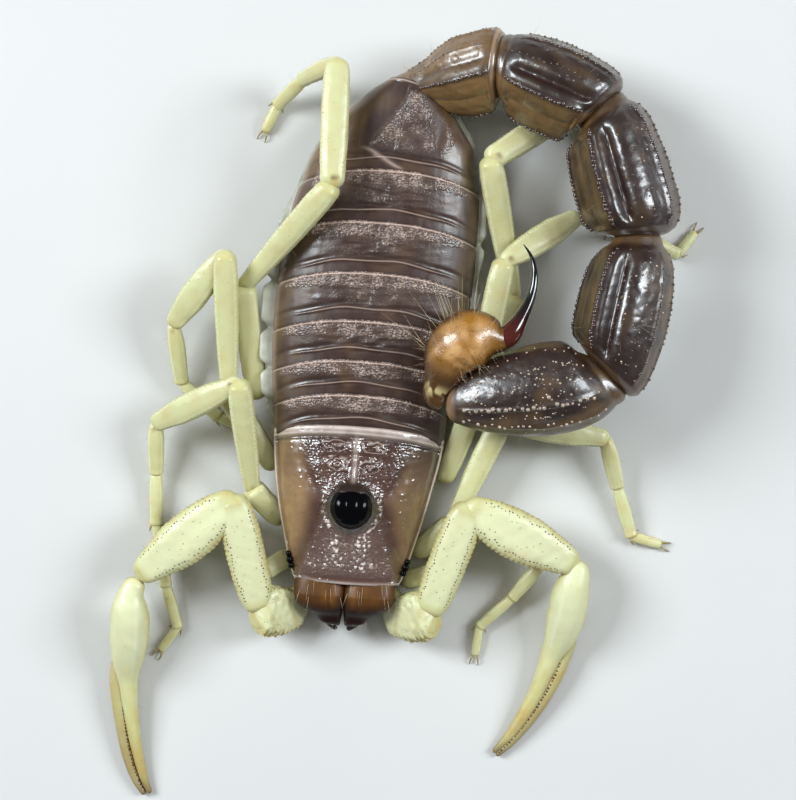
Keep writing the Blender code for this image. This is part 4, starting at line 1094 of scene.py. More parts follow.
def plate_surface(number, u, v):
    """Top of a back plate: u across from -1 to 1, v from its front to its rear edge."""
    last = number == 7
    rear = PLATE_REARS[number - 1]
    front = 4.3 if number == 1 else PLATE_REARS[number - 2] - 0.35
    side = np.abs(u)
    y_mid = front + (rear + 0.12 - front) * v
    bow = (1.0 - 0.75 * v) if last else 1.0
    y = y_mid + (0.18 - (PLATE_ARC + 0.18) * side ** 2.4) * bow - (0.35 * u * v if last else 0.0)
    across = through(y_mid, PLATE_HALF_WIDTHS)
    middle = through(y_mid, PLATE_CENTRES)
    corner = 1.0 - 0.03 * (step(v, 0.86, 1.0) + fall(v, 0.0, 0.15))
    x = middle + u * across * corner
    crown = through(y_mid, PLATE_CROWN)
    z = PLATE_EDGE_Z + (crown - PLATE_EDGE_Z) * (1.0 - side ** 2.8) ** 0.6
    places = together(x, y, z)
    behind = rear + 0.12 - y_mid
    ahead = y_mid - front
    centre = bump(side, 0.0, 0.4)
    # The plate lifts to its rear edge and dips in front, under the plate before it.
    z = z + 0.16 * (v - 0.5) - 0.26 * fall(ahead, 0.0, 0.42) - 0.14 * step(v, 0.985, 1.0)
    fold = (1.15 if number > 1 else 0.85) - 0.3 * side ** 2 + 0.05 * np.sin(x * 1.7 + number)
    z = z + 0.075 * bump(ahead, fold, 0.07) * fall(side, 0.55, 0.85) - 0.05 * bump(ahead, fold + 0.24, 0.16)
    z = z + 0.045 * bump(x - middle, 0.0, 0.06) * step(ahead, fold + 0.25, fold + 0.6) * fall(v, 0.9, 0.97)
    # Creases spread out from the middle, and soft streaks run lengthways over the sides.
    spread = waves(together(x * 0.55, y * 1.9, z), 0.85, 20 + number)
    streaks = waves(together(x * 1.9, y * 0.35, z), 1.0, 30 + number)
    creases = centre * step(ahead, 0.7, 1.2) * step(behind, 0.3, 0.9) * (0.0 if last else 1.0)
    z = z + 0.05 * spread * creases + 0.004 * streaks
    depth = 0.0 if last else 1.0 - 0.5 * side
    band = fall(behind, 0.85 * depth, 1.35 * depth + 0.01) * fall(side, 0.8, 0.97)
    mask = np.maximum(band, 0.5 * centre * step(ahead, fold + 0.1, fold + 0.4))
    lines = blank(x)
    if last:
        keel_a = bump(u, -0.455 + 0.61 * v, 0.06) * step(v, 0.26, 0.36) * fall(v, 0.86, 0.94)
        keel_b = bump(u, 0.376 + 0.567 * v, 0.07) * step(v, 0.2, 0.5) * fall(v, 0.5, 0.8)
        crease = bump(u - 0.28 + 2.23 * v, 0.0, 0.05) * step(v, 0.07, 0.11) * fall(v, 0.25, 0.31)
        lines = 0.55 * crease
        z = z + 0.12 * keel_a + 0.1 * keel_b + 0.1 * crease
        between = step(u, -0.5 + 0.61 * v, -0.35 + 0.61 * v) * fall(u, 0.35, 0.55)
        mask = np.maximum.reduce((keel_a, keel_b, 0.7 * between * step(v, 0.2, 0.4) * fall(v, 0.86, 0.95)))
    mask = held(mask * (0.8 + 0.35 * waves(places, 1.3, 40 + number)))
    strength = mask * grains(x + 0.05 * waves(places, 0.5, 70), y, 0.14, 50 + number, 0.5, 0.95)
    z = z + 0.065 * strength + 0.05 * bump(behind, 0.16, 0.07)
    # Pale flecks on the grains: pale granule tips with painted glints on them.
    glint_flecks = 0.32 * step(strength + 0.15 * waves(places, 0.6, 80 + number), 0.3, 0.66)
    rim = bump(behind, 0.16, 0.045) * (1.0 - 0.25 * side)
    ridge = 0.5 * bump(ahead, fold, 0.04) * fall(side, 0.45, 0.75)
    # Painted shade in the dark field: the tucked-in front, the dip behind the fold, grain gaps and the left
    # side.
    fields = {
        "tone": (0.3 * step(side, 0.6, 0.97) + 0.15 * waves(places, 1.7, 60 + number)
                 + (0.5 * step(-u, 0.2, 0.8) + 0.3 * step(u, 0.3, 0.8) if last else 0.0)),
        "dark": np.clip(0.5 * fall(ahead, 0.45, 0.62) + 0.3 * bump(ahead, fold + 0.3, 0.25)
                        + 0.25 * step(u, 0.6, 1.0) + 0.3 * bump(behind, 0.03, 0.03)
                        + 0.4 * mask * fall(strength, 0.05, 0.3), 0.0, 0.8),
        # Painted light in pale: glints on the grains and a sheen along the right outer edge.
        "pale": (0.8 * rim + ridge + lines + 0.28 * strength ** 2 + 0.1 * mask + glint_flecks
                 + 0.25 * step(-u, 0.93, 0.985)),
        "grain": mask,
    }
    return together(x, y, z), fields


def build_plates():
    """Seven back plates, each with its front fold, grains and pale rear rim."""
    for number in range(1, 8):
        rows, columns = PLATE_GRID if number < 7 else LAST_PLATE_GRID
        s = np.linspace(-1.0, 1.0, columns)
        u = np.sin(s * math.pi * 0.47) / math.sin(math.pi * 0.47)
        v, u = np.meshgrid(np.linspace(0.0, 1.0, rows), u, indexing="ij")
        top, fields = plate_surface(number, u, v)
        skin = Skin()
        skin.add(*shell_rings(top, fields, 2.3, 0.985, 40))
        skin.build(f"back_plate_{number}", "Back shell", "shell", f"trunk_segment_{number}")


def trunk_skin_shape(t, turn):
    """Soft sides and belly of the trunk, with a fold between every two segments."""
    y = TRUNK_Y[0] + (TRUNK_Y[1] - TRUNK_Y[0]) * t
    half = through(y, PLATE_HALF_WIDTHS) - 0.1
    crown = through(y, PLATE_CROWN) - 0.75
    belly = through(y, BELLY_LINE)
    across = np.sin(turn)
    rising = np.cos(turn)
    edges = (4.55, *PLATE_REARS)
    fold = sum(bump(y + 0.5, edge, 0.3) for edge in edges)
    lobe = held(1.0 - fold)
    low = fall(rising, 0.05, 0.34)
    right = step(-across, 0.55, 0.92) * step(y, 4.6, 6.0) * fall(y, 15.0, 19.5) * low
    left = step(across, 0.6, 0.95) * step(y, 13.0, 15.5) * fall(y, 18.5, 20.5) * low
    swell = (0.4 + 0.45 * lobe) * right + (0.3 + 0.25 * lobe) * left
    swell = swell + 0.05 * step(np.abs(across), 0.8, 0.95) * low
    reach = np.sign(across) * np.abs(across) ** 0.85
    side_x = (half + swell) * reach
    up = np.where(rising > 0.0, (crown - SKIN_EDGE_Z) * np.abs(rising) ** 1.15,
                  -(SKIN_EDGE_Z - belly + 0.2 * (belly < 0.05)) * np.abs(rising) ** 0.75)
    up = up + 0.55 * (right + left) * (0.4 + 0.6 * lobe) * bump(rising, 0.12, 0.2)
    centre = through(y, PLATE_CENTRES)
    close = rounded(t, 0.03, 0.02)
    below = step(-rising, 0.3, 0.7)
    groove = sum(bump(y, edge - 0.2, 0.09) for edge in edges[2:]) * below
    points = together(side_x, y, up)
    wrinkles = 0.016 * waves(points * (1.0, 1.0, 2.6), 0.8, 90) * step(np.abs(across), 0.7, 0.9)
    side_x = side_x * close + wrinkles * np.sign(across)
    up = SKIN_EDGE_Z + up * close + 0.12 * groove * (belly > 0.05)
    # Dark is painted shade: in folds and belly grooves, and on the left flank, in the shadow of the curled
    # tail.
    fields = {
        "tone": below * (1.0 - 0.2 * groove),
        "dark": 0.35 * fold + 0.7 * groove + 0.4 * step(across, 0.3, 0.8) * (1.0 - left),
        "pale": (0.6 * right * lobe * step(points[..., 2], -1.0, 0.8) * (0.7 + 0.3 * waves(points, 0.7, 91))),
        "grain": 0.3 * below,
    }
    return centre + side_x, up, fields


def build_trunk_skin():
    """The soft sides between back and belly plates, and the belly itself."""
    tube = Tube([(0.0, y, 0.0) for y in TRUNK_Y], UP, trunk_skin_shape)
    skin = Skin()
    skin.add_tube(tube, rings=260, sides=132, crowd=0.1)
    skin.build("trunk_skin", "Side skin", "shell", *(f"trunk_segment_{n}" for n in range(1, 8)))


def build_underside():
    """Breastbone, coxae and the two combs with their teeth."""
    skin = Skin()

    def plate_shape(t, turn):
        y = -4.4 + 10.6 * t
        half = through(y, BREASTBONE_HALF_WIDTHS)
        across, rising = rounded_box(turn, 4.0)
        close = rounded(t, 0.05, 0.05)
        return half * across * close, 0.55 * rising * close, {"tone": 0.3}

    skin.add_tube(Tube(((0.0, -4.4, 1.3), (0.0, 6.2, 1.3)), UP, plate_shape), rings=60, sides=48)
    for sign in (1.0, -1.0):
        for x, y, heading, length, wide in COXAE:
            heading = heading if sign > 0.0 else 180.0 - heading
            start = np.array((sign * x, y, 0.95))

            def coxa_shape(t, turn, wide=wide):
                across, rising = rounded_box(turn, 2.6)
                size = through(t, ((0.0, 0.6), (0.3, 0.9), (1.0, 1.0))) * rounded(t, 0.15, 0.12)
                return wide * size * across, 0.62 * size * rising, {"tone": 0.25 * t, "pale": 0.1}

            end = start + length * heading_vector(heading)
            skin.add_tube(Tube((start, end), UP, coxa_shape), rings=26, sides=24)
    skin.build("underside_plates", "Limb shell", "limb", "sternum_and_coxae")
    for side, sign in SIDES:
        skin = Skin()
        start = np.array((sign * 0.75, 4.6, 0.5))
        forward = heading_vector(90.0 - sign * 42.0)
        across = np.array((-forward[1], forward[0], 0.0)) * -sign

        def handle_shape(t, turn):
            wide, tall = rounded_box(turn, 2.4)
            size = through(t, ((0.0, 0.7), (0.3, 1.0), (1.0, 0.6))) * rounded(t, 0.1, 0.12)
            return 0.45 * size * wide, 0.26 * size * tall, {"tone": 0.4}

        skin.add_tube(Tube((start, start + forward * 4.6), UP, handle_shape), rings=24, sides=16)
        for k in range(COMB_TEETH):
            root = start + forward * (0.35 + 0.2 * k) - across * 0.25
            reach = 0.85 * (1.0 - 0.3 * k / COMB_TEETH)

            def tooth_shape(t, turn):
                size = rounded(t, 0.2, 0.4)
                return 0.085 * size * np.sin(turn), 0.16 * size * np.cos(turn), {"pale": 0.5}

            skin.add_tube(Tube((root, root - across * reach), UP, tooth_shape), rings=8, sides=8)
        skin.build(f"comb_{side}", "Limb shell", "limb", f"{side}_pecten")


# ---------------------------------------------------------------- jaws

def build_jaws():
    """Each jaw: a swollen hand, its fixed finger with teeth, and the movable finger beside it."""
    for side, sign in SIDES:
        def hand_shape(t, turn, sign=sign):
            across, rising = rounded_box(turn, 2.7)
            inner = sign * across
            size = through(t, JAW_GIRTH) * rounded(t, 0.06, 0.12)
            points = together(across, rising, t * 3.0)
            stripe = bump(inner, 0.55, 0.12) + 0.6 * bump(inner, 0.2, 0.08)
            # The dark field also holds painted shade on the inner face, where the two jaws meet.
            fields = {
                "tone": (0.6 * stripe * fall(t, 0.6, 0.85) + 0.25 * step(-rising, -0.2, 0.5)
                         + 0.15 * waves(points, 1.0, 7)),
                "dark": (step(t, 0.5, 0.76) * (0.85 + 0.2 * waves(points, 0.7, 9))
                         + 0.5 * bump(inner, 0.95, 0.12) + 0.35 * step(t, 0.25, 0.6)
                         + 0.3 * step(-inner, 0.6, 1.0)),
                "grain": 0.2,
            }
            shift = sign * 1.5 * (1.0 - size) * 0.86
            return 1.56 * size * across + shift, size * rising + 0.25 * (size - 0.8), fields

        x = sign * 1.5 - 0.08
        tube = Tube(((x, -4.2, 2.35), (x, -5.5, 2.5), (x, -7.4, 2.1)), UP, hand_shape)
        skin = Skin()
        skin.add_tube(tube, rings=90, sides=80)
        # Fixed finger with two teeth, on the inner side.
        for dx, dy, length, thick, turn_to in JAW_TEETH:
            root = (sign * dx - 0.08, -6.6 - dy, 2.0)
            path = arc_points(root, (-90.0 - sign * 2.0, -90.0 + sign * turn_to), length, 1.75, 6)
            skin.add_tube(Tube(path, UP, spike(thick, 0.75, 1.4, 0.1, (0.8, 0.2))), rings=18, sides=14)
        skin.build(f"jaw_hand_{side}", "Jaw shell", "jaw", f"chelicera_{side}")
        root = (sign * 1.0 - 0.08, -6.3, 1.6)
        path = arc_points(root, (-90.0 + sign * 6.0, -90.0 - sign * 62.0), 1.6, 1.4, 8)
        skin = Skin()
        skin.add_tube(Tube(path, UP, spike(0.42, 0.72, 1.3, 0.12, (0.55, 0.45), 0.2)), rings=26, sides=18)
        skin.build(f"jaw_claw_{side}", "Jaw shell", "jaw", f"chelicera_finger_{side}")
        rng = np.random.default_rng(31 if sign > 0 else 32)
        for _ in range(9):
            t = rng.uniform(0.12, 0.45)
            turn = rng.uniform(-0.9, 0.9)
            place = tube.at(t, turn)
            facing = unit(tube.facing(t, turn) * 0.5 + np.array((0.0, -1.0, 0.0)))
            BRISTLES["head"].add(place, facing, rng.uniform(0.7, 1.2), 0.0, (0.5 * t, 0.9))
        for _ in range(10):
            place = np.array((sign * rng.uniform(0.3, 1.5), rng.uniform(-7.4, -6.7), 2.3))
            facing = unit(np.array((rng.normal(0.0, 0.5), -1.0, 0.3)))
            BRISTLES["head"].add(place, facing, rng.uniform(0.35, 0.6), 0.0, (0.6, 0.92))


# ---------------------------------------------------------------- limbs

def podomere(start, end, wide, tall, seed, profile, squareness, before, after, warm, pit, keel, painted_shade):
    """One length of a limb: narrow and rounded at its base, flared at its end, with low keels."""
    run = unit(end - start)
    path = np.linspace(start - run * before, end + run * after, 12)
    length = np.linalg.norm(end - start) + before + after
    cap = min(0.45 * wide * 2.0 / length, 0.3)

    def shape(t, turn):
        across, rising = rounded_box(turn, squareness)
        size = through(t, profile) * rounded(t, cap, cap * 0.8)
        points = together(across * wide, rising * tall, t * length)
        ridges = bump(np.abs(np.sin(turn)), math.sin(math.radians(48.0)), 0.1) * (np.cos(turn) > 0.0)
        body = step(t, 0.06, 0.18) * fall(t, 0.88, 0.97)
        lift = 1.0 + keel * ridges * body + 0.012 * waves(points, 0.9, seed)
        rim = bump(t, 0.955, 0.018)
        lift = lift + 0.035 * rim
        condyle = bump(np.abs(np.sin(turn)), 1.0, 0.35) * bump(t, 0.05, 0.05)
        hole = bump(turn % math.tau, math.tau * 0.02, 0.45) * bump(t * length, 0.42 * wide + 0.25, 0.16)
        lift = lift + 0.08 * condyle - 0.12 * hole * pit
        fields = {
            "tone": (warm + 0.3 * rim + 0.12 * ridges * body + 0.22 * waves(points, 1.6, seed + 1)
                     + 0.5 * fall(t, 0.0, 0.1)),
            # Painted shade over the top of the leg, deeper where the leg lies in shade.
            "dark": pit * hole + painted_shade * step(np.cos(turn), 0.45, 0.85) * body,
            # Pale keel lines with a painted highlight along them, and painted light on the top.
            "pale": 0.55 * condyle + 0.55 * ridges * body + 0.1 * step(np.cos(turn), 0.3, 0.95) * body,
            "grain": 0.25 * body,
        }
        return wide * size * lift * across, tall * size * lift * rising, fields

    return Tube(path, UP, shape)


def build_leg(side, number):
    """One walking leg: trochanter, femur, patella, tibia, two tarsi, spurs and claws."""
    root, *steps = LEG_POSES[(side, number)]
    joints = walk(root, LEG_LENGTHS[number], steps)
    scale = LEG_SCALE[number]
    skin = Skin()
    seed = 100 + number * 10 + (5 if side == "left" else 0)
    strip = number * 7 + (3 if side == "left" else 0)
    # Painted shade: deeper on the hind legs of the left side, which lie in shade.
    painted_shade = 0.16 if side == "left" and number > 2 else 0.07
    for k, profile in enumerate(LEG_PROFILES):
        if number == 4 and k == 2:
            profile = HIND_PATELLA_PROFILE
        wide, tall = (value * scale for value in LEG_GIRTHS[k])
        overlap = 0.26 if k < 3 else 0.16
        tube = podomere(joints[k], joints[k + 1], wide, tall, seed + k, profile,
                        squareness=2.7 if k < 3 else 2.3, before=overlap, after=overlap if k < 5 else 0.0,
                        warm=0.12 * (k > 2) + 0.12 * (k > 4),
                        pit=0.75 if k == 2 else 0.35 if k in (1, 3) else 0.0,
                        keel=0.05 if k in (1, 2) else 0.02, painted_shade=painted_shade * (k < 4))
        skin.add_tube(tube, 64 if k in (1, 2) else 40, 44 if k < 3 else 32)
        sprinkle(tube, "legs", LEG_BRISTLES[k], 0.55 if k < 3 else 0.7, seed + k, strip, (0.15, 0.95), 0.4)
        if k in (1, 2):
            for turn, tone in LEG_BEAD_ROWS:
                row = seed + 40 + k + int(turn * 10)
                bead_row(tube, LIMB_BEADS, 22, turn, 0.042, row, (0.12, 0.9), tone, 0.05)
            bead_row(tube, LIMB_BEADS, 8, 0.3, 0.022, seed + 60 + k, (0.2, 0.8), 0.1, 0.4)
    tip = joints[6]
    ahead = unit(joints[6] - joints[5])
    level = unit(np.cross(ahead, UP))
    claw = spike(0.085, 0.8, 1.0, 0.1, (0.35, 0.5), 0.8)
    for sign in (1.0, -1.0):
        start = tip - ahead * 0.1 + level * 0.12 * sign
        bend = [start, start + ahead * 0.28 + level * 0.1 * sign + UP * 0.1,
                start + ahead * 0.52 + level * 0.14 * sign,
                start + ahead * 0.66 + level * 0.13 * sign - UP * 0.14]
        skin.add_tube(Tube(bend, UP, claw), rings=12, sides=10)
        spur = joints[5] + level * 0.3 * sign * scale
        spur_path = (spur, spur + (ahead * 0.35 + level * sign * 0.2 - UP * 0.05))
        skin.add_tube(Tube(spur_path, UP, claw), rings=8, sides=8)
    skin.build(f"leg_{side}_{number}", "Limb shell", "limb",
               *(f"{side}_leg_{number}_{part}" for part in ("femur", "patella", "foot")))


def trochanter_tube(start, end, sign):
    """Broad knobbly block at the base of a pincer arm, toothed along its front edge."""
    run = unit(end - start)
    path = np.linspace(start - run * 1.05, end + run * 0.45, 10)

    def shape(t, turn):
        across, rising = rounded_box(turn, 3.4)
        # Across points to the front of the left arm and to the rear of the right one.
        front = sign * across
        size = through(t, TROCHANTER_GIRTH) * rounded(t, 0.14, 0.16)
        teeth = np.abs(np.sin(t * 38.0 + 0.8 * np.sin(t * 9.0)))
        teeth = teeth * bump(front, 1.0, 0.3) * bump(rising, 0.3, 0.55)
        creases = 0.6 * np.abs(np.sin((t - 0.2) * 7.0 + front * 1.4)) ** 12 * step(rising, 0.3, 0.8)
        points = together(across, rising, t * 3.0)
        lift = 1.0 + 0.14 * teeth * rounded(t, 0.3, 0.3) - 0.05 * creases + 0.03 * waves(points, 0.4, 300)
        wide = 1.42 + 0.16 * front
        fields = {
            "tone": 0.35 * bump(front, 1.0, 0.35) + 0.25 * waves(points, 0.8, 301) + 0.3 * creases,
            # Painted shade in the creases.
            "dark": 0.12 * creases,
            # Painted light on the top.
            "pale": 0.35 * step(rising, 0.5, 1.0) * (1.0 - creases),
            "grain": 0.5,
        }
        return wide * size * lift * across, 1.05 * size * lift * rising, fields

    return Tube(path, UP, shape)


def crenate_tube(start, end, wide, tall, seed, bulge, sign, girth):
    """Femur or patella of a pincer arm: boxy, with fine-toothed edges and a swollen outer side."""
    run = unit(end - start)
    before, after = 0.4, 0.35
    length = np.linalg.norm(end - start) + before + after
    path = np.linspace(start - run * before, end + run * after, 14)

    def shape(t, turn):
        across, rising = rounded_box(turn, 3.2)
        edge = bump(np.abs(across), 0.98, 0.14) * bump(rising, 0.3, 0.5)
        size = through(t, girth) * rounded(t, 0.08, 0.07)
        bead = np.abs(np.sin(t * length * math.pi / 0.33)) ** 0.7
        body = step(t, 0.08, 0.16) * fall(t, 0.86, 0.94)
        points = together(across * wide, rising * tall, t * length)
        lift = 1.0 + 0.075 * edge * bead * body + 0.012 * waves(points, 0.8, seed)
        swollen = 1.0 + bulge * bump(t, 0.45, 0.32) * step(sign * across, 0.0, 1.0)
        dip = 0.05 * bump(across, 0.0, 0.45) * step(rising, 0.4, 0.9) * body
        rim = bump(t, 0.94, 0.02)
        fields = {
            "tone": (0.55 * edge * body + 0.3 * fall(t, 0.0, 0.12) + 0.3 * step(t, 0.9, 1.0)
                     + 0.2 * waves(points, 1.5, seed + 1)),
            "dark": 0.1 * rim,
            # Painted light on the top, off the toothed edges.
            "pale": 0.45 * step(rising, 0.55, 0.95) * (1.0 - edge) * body,
            "grain": 0.35 * body,
        }
        across_mm = wide * size * lift * swollen * across
        return across_mm, tall * size * (lift - dip) * rising, fields

    return Tube(path, UP, shape)


def build_arm(side):
    """One pincer arm: trochanter, femur, patella, hand with its fixed finger, and the movable finger."""
    sign = 1.0 if side == "left" else -1.0
    root, *steps = ARM_POSES[side]
    joints = walk(root, ARM_LENGTHS, steps)
    name = f"{side}_palp"
    seed = 500 if side == "left" else 600
    strip = 44 if side == "left" else 52
    tube = trochanter_tube(joints[1], joints[2], sign)
    skin = Skin()
    skin.add_tube(tube, rings=110, sides=110)

    def coxa_shape(t, turn):
        across, rising = rounded_box(turn, 2.4)
        size = rounded(t, 0.2, 0.1) * (0.8 + 0.2 * t)
        return 0.75 * size * across, 0.6 * size * rising, {"tone": 0.2, "pale": 0.2}

    hip = joints[0] + np.array((sign * 0.1, 0.9, 0.3))
    skin.add_tube(Tube((hip, joints[1] + (joints[2] - joints[1]) * 0.3), UP, coxa_shape), rings=30, sides=30)
    skin.build(f"arm_{side}_trochanter", "Limb shell", "limb", name + "_trochanter")
    sprinkle(tube, "arms", 26, 0.5, seed + 1, strip)
    for turn, size, tone in TROCHANTER_BEAD_ROWS:
        bead_row(tube, LIMB_BEADS, 18, sign * turn, size, seed + 80 + int(turn * 10), (0.18, 0.9), tone, 0.08)
    for k, (label, wide, tall, bulge) in enumerate((("femur", 1.08, 0.9, 0.0), ("patella", 1.3, 1.0, 0.1))):
        tube = crenate_tube(joints[k + 2], joints[k + 3], wide, tall, seed + 10 * k, bulge, sign,
                            ARM_GIRTHS[label])
        skin = Skin()
        skin.add_tube(tube, rings=130, sides=108)
        skin.build(f"arm_{side}_{label}", "Limb shell", "limb", f"{name}_{label}")
        for row, turn in enumerate(ARM_BEAD_TURNS):
            tone = 0.0 if row < 2 else 0.75
            bead_row(tube, LIMB_BEADS, 26, turn, 0.05, seed + 20 + 4 * k + row, (0.14, 0.86), tone, 0.07)
        bead_row(tube, LIMB_BEADS, 16, 0.1 * sign, 0.035, seed + 60 + k, (0.2, 0.8), 0.2, 0.3)
        sprinkle(tube, "arms", 40, 0.55, seed + 30 + k, strip + 1 + k)
    build_hand(side, sign, seed, strip)


def build_hand(side, sign, seed, strip):
    """Swollen smooth hand that runs on into its fixed finger, and the movable finger on its outer side."""
    path, girth, length = measured(HAND_PATHS[side])
    palm = 0.46

    def shape(t, turn):
        across, rising = rounded_box(turn, 2.2)
        size = through(t, girth) * rounded(t, 0.03, 0.02)
        points = together(across, rising, t * length)
        beyond = step(t, palm, 0.9)
        ridge = bump(across, 0.45 * sign, 0.1) * step(rising, 0.2, 0.6)
        ridge = ridge * step(t, 0.08, 0.2) * fall(t, 0.4, 0.5)
        fields = {
            "tone": (0.2 * bump(np.abs(across), 1.0, 0.3) + 0.9 * beyond + 0.15 * waves(points, 1.4, seed)
                     + 0.5 * fall(t, 0.0, 0.06)),
            "dark": np.clip(0.5 * step(t, 0.88, 1.0) + 0.22 * step(t, 0.62, 0.95), 0.0, 0.8),
            # Painted highlight over the top of the palm, and the pale ridge.
            "pale": 0.5 * step(rising, 0.2, 0.9) * fall(t, 0.3, 0.6) + 0.25 * ridge,
            "grain": 0.15,
        }
        swell = 1.0 + 0.008 * waves(points, 0.9, seed + 1) + 0.02 * ridge
        return size * across * swell, 0.95 * size * rising * swell, fields

    tube = Tube(path, UP, shape)
    skin = Skin()
    skin.add_tube(tube, rings=230, sides=72, crowd=0.2)
    skin.build(f"arm_{side}_hand", "Limb shell", "limb", f"{side}_palp_hand")
    finger_path, finger_girth, finger_length = measured(FINGER_PATHS[side])

    def claw_shape(t, turn):
        across, rising = rounded_box(turn, 2.1)
        size = through(t, finger_girth) * rounded(t, 0.06, 0.025)
        points = together(across, rising, t * finger_length)
        fields = {
            "tone": 0.7 + 0.4 * step(t, 0.1, 0.6) + 0.1 * waves(points, 1.0, seed + 3),
            "dark": np.clip(0.26 + 0.28 * step(t, 0.3, 0.8) + 0.35 * step(t, 0.86, 1.0), 0.0, 0.9),
            # Painted light on the top of the finger.
            "pale": 0.1 * step(rising, 0.5, 1.0),
            "grain": 0.2,
        }
        return size * across, size * rising, fields

    claw = Tube(finger_path, UP, claw_shape)
    skin = Skin()
    skin.add_tube(claw, rings=130, sides=44, crowd=0.3)
    skin.build(f"arm_{side}_finger", "Limb shell", "limb", f"{side}_palp_finger")
    inner = 0.5 * math.pi * sign
    bead_row(claw, LIMB_BEADS, 30, inner * (0.34 - 0.16 * sign), 0.072, seed + 71, (0.26, 0.97), 0.0, 0.02)
    bead_row(tube, LIMB_BEADS, 26, -inner * 0.72, 0.05, seed + 72, (0.62, 0.97), 0.0, 0.03)
    sprinkle(tube, "arms", 60, 0.5, seed + 73, strip + 4)
    sprinkle(claw, "arms", 40, 0.45, seed + 74, strip + 5)


# ---------------------------------------------------------------- tail

def tail_up(forward, roll):
    """Direction of the back of the tail, rolled from straight up towards the inside of its curl."""
    level = unit(np.cross(forward, UP))
    turn = math.radians(roll)
    return UP * math.cos(turn) + level * math.sin(turn)


def tail_tube(index, joints, runs):
    """One keeled tail segment."""
    length, _, _, half_height, half_width, roll = TAIL_SEGMENTS[index]
    forward = runs[index]
    before = runs[index - 1] if index else heading_vector(TRUNK_END_HEADING)
    after = runs[index + 1] if index < 4 else heading_vector(STALK_HEADING)
    cuts = (unit(before + forward), unit(forward + after))
    up = tail_up(forward, roll)
    side = unit(np.cross(forward, up))
    above = np.cross(side, forward)
    reach = (0.35, 0.12)
    start = joints[index] - forward * reach[0]
    end = joints[index + 1] + forward * reach[1]
    total = length + sum(reach)
    section = TAIL_SECTIONS[index]
    keels = TAIL_KEELS[index]
    furrow = TAIL_FURROWS[index]

    def shape(t, turn):
        place = (t * total - reach[0]) / length
        angle = np.degrees(np.abs((turn + math.pi) % math.tau - math.pi))
        body = step(place, 0.08, 0.2) * fall(place, 0.88, 0.97)
        share = through(angle, section)
        share = 0.96 * (1.0 - body) + share * body
        for middle, height, _, _ in keels:
            share = share + height * 0.75 * bump(angle, middle, 3.0) * body
        if furrow:
            hollow = furrow[1] * 0.48 * bump(angle, furrow[0], 7.5)
            share = share - hollow * step(place, 0.12, 0.24) * fall(place, 0.84, 0.93)
        size = through(place, TAIL_PROFILES[index]) * rounded(t, 0.055, 0.04)
        rim = bump(place, 0.945, 0.012)
        collar = bump(place, 0.065, 0.02)
        size = size * (1.0 + 0.018 * rim - 0.03 * bump(place, 0.975, 0.01) - 0.03 * collar)
        across = half_width * size * share * np.sin(turn)
        rising = half_height * size * share * np.cos(turn)
        offset = side * across[..., None] + above * rising[..., None]
        along = blank(t)
        for cut, weight in ((cuts[0], fall(place, -0.05, 0.3)), (cuts[1], step(place, 0.7, 1.04))):
            along = along - (offset @ cut) / (forward @ cut) * weight
        points = together(across, rising, t * total)
        flank = step(angle, 44.0, 52.0) * fall(angle, 140.0, 160.0) * body
        pits = grains(t * total, np.radians(angle) * half_height, 0.5, 700 + index, 0.24, 0.6)
        nubs = grains(t * total + 3.0, np.radians(angle) * half_height, 0.46, 720 + index, 0.4, 0.5)
        shift = 1.0 - 0.008 * pits * flank + 0.008 * nubs * flank + 0.004 * waves(points, 0.8, 740 + index)
        hollow = bump(angle, furrow[0], 6.0) * body if furrow else blank(t)
        face = fall(angle, 30.0, 42.0)
        under = step(angle, 126.0, 142.0)
        warm = float(index == 0)
        fields = {
            "tone": (face * TAIL_FACE_TONES[index] + 0.25 * under
                     + warm * (0.25 + 0.5 * step(angle, 38.0, 70.0)) + 0.12 * waves(points, 1.6, 760 + index)
                     + 0.35 * fall(place, 0.03, 0.12) + 0.3 * step(place, 0.97, 1.02)),
            # Besides the dark keel and joints, painted shade in the pits and along the furrow.
            "dark": (sum(bump(angle, k[0], 2.4) for k in keels[:1]) * 0.75 * body + 0.5 * rim
                     + 0.35 * bump(place, 0.985, 0.02) + 0.5 * pits * flank + 0.5 * hollow
                     + 0.25 * bump(place, 0.0, 0.08)),
            "pale": ((0.6 if index == 0 else 0.15) * bump(place, 0.965, 0.012)
                     + (0.6 * step(place, 0.95, 1.01) if index == 4 else 0.0)),
            "grain": 0.12 * flank + 0.2 * under,
            "along": along,
        }
        return across * shift, rising * shift, fields

    return Tube((start, end), up, shape)


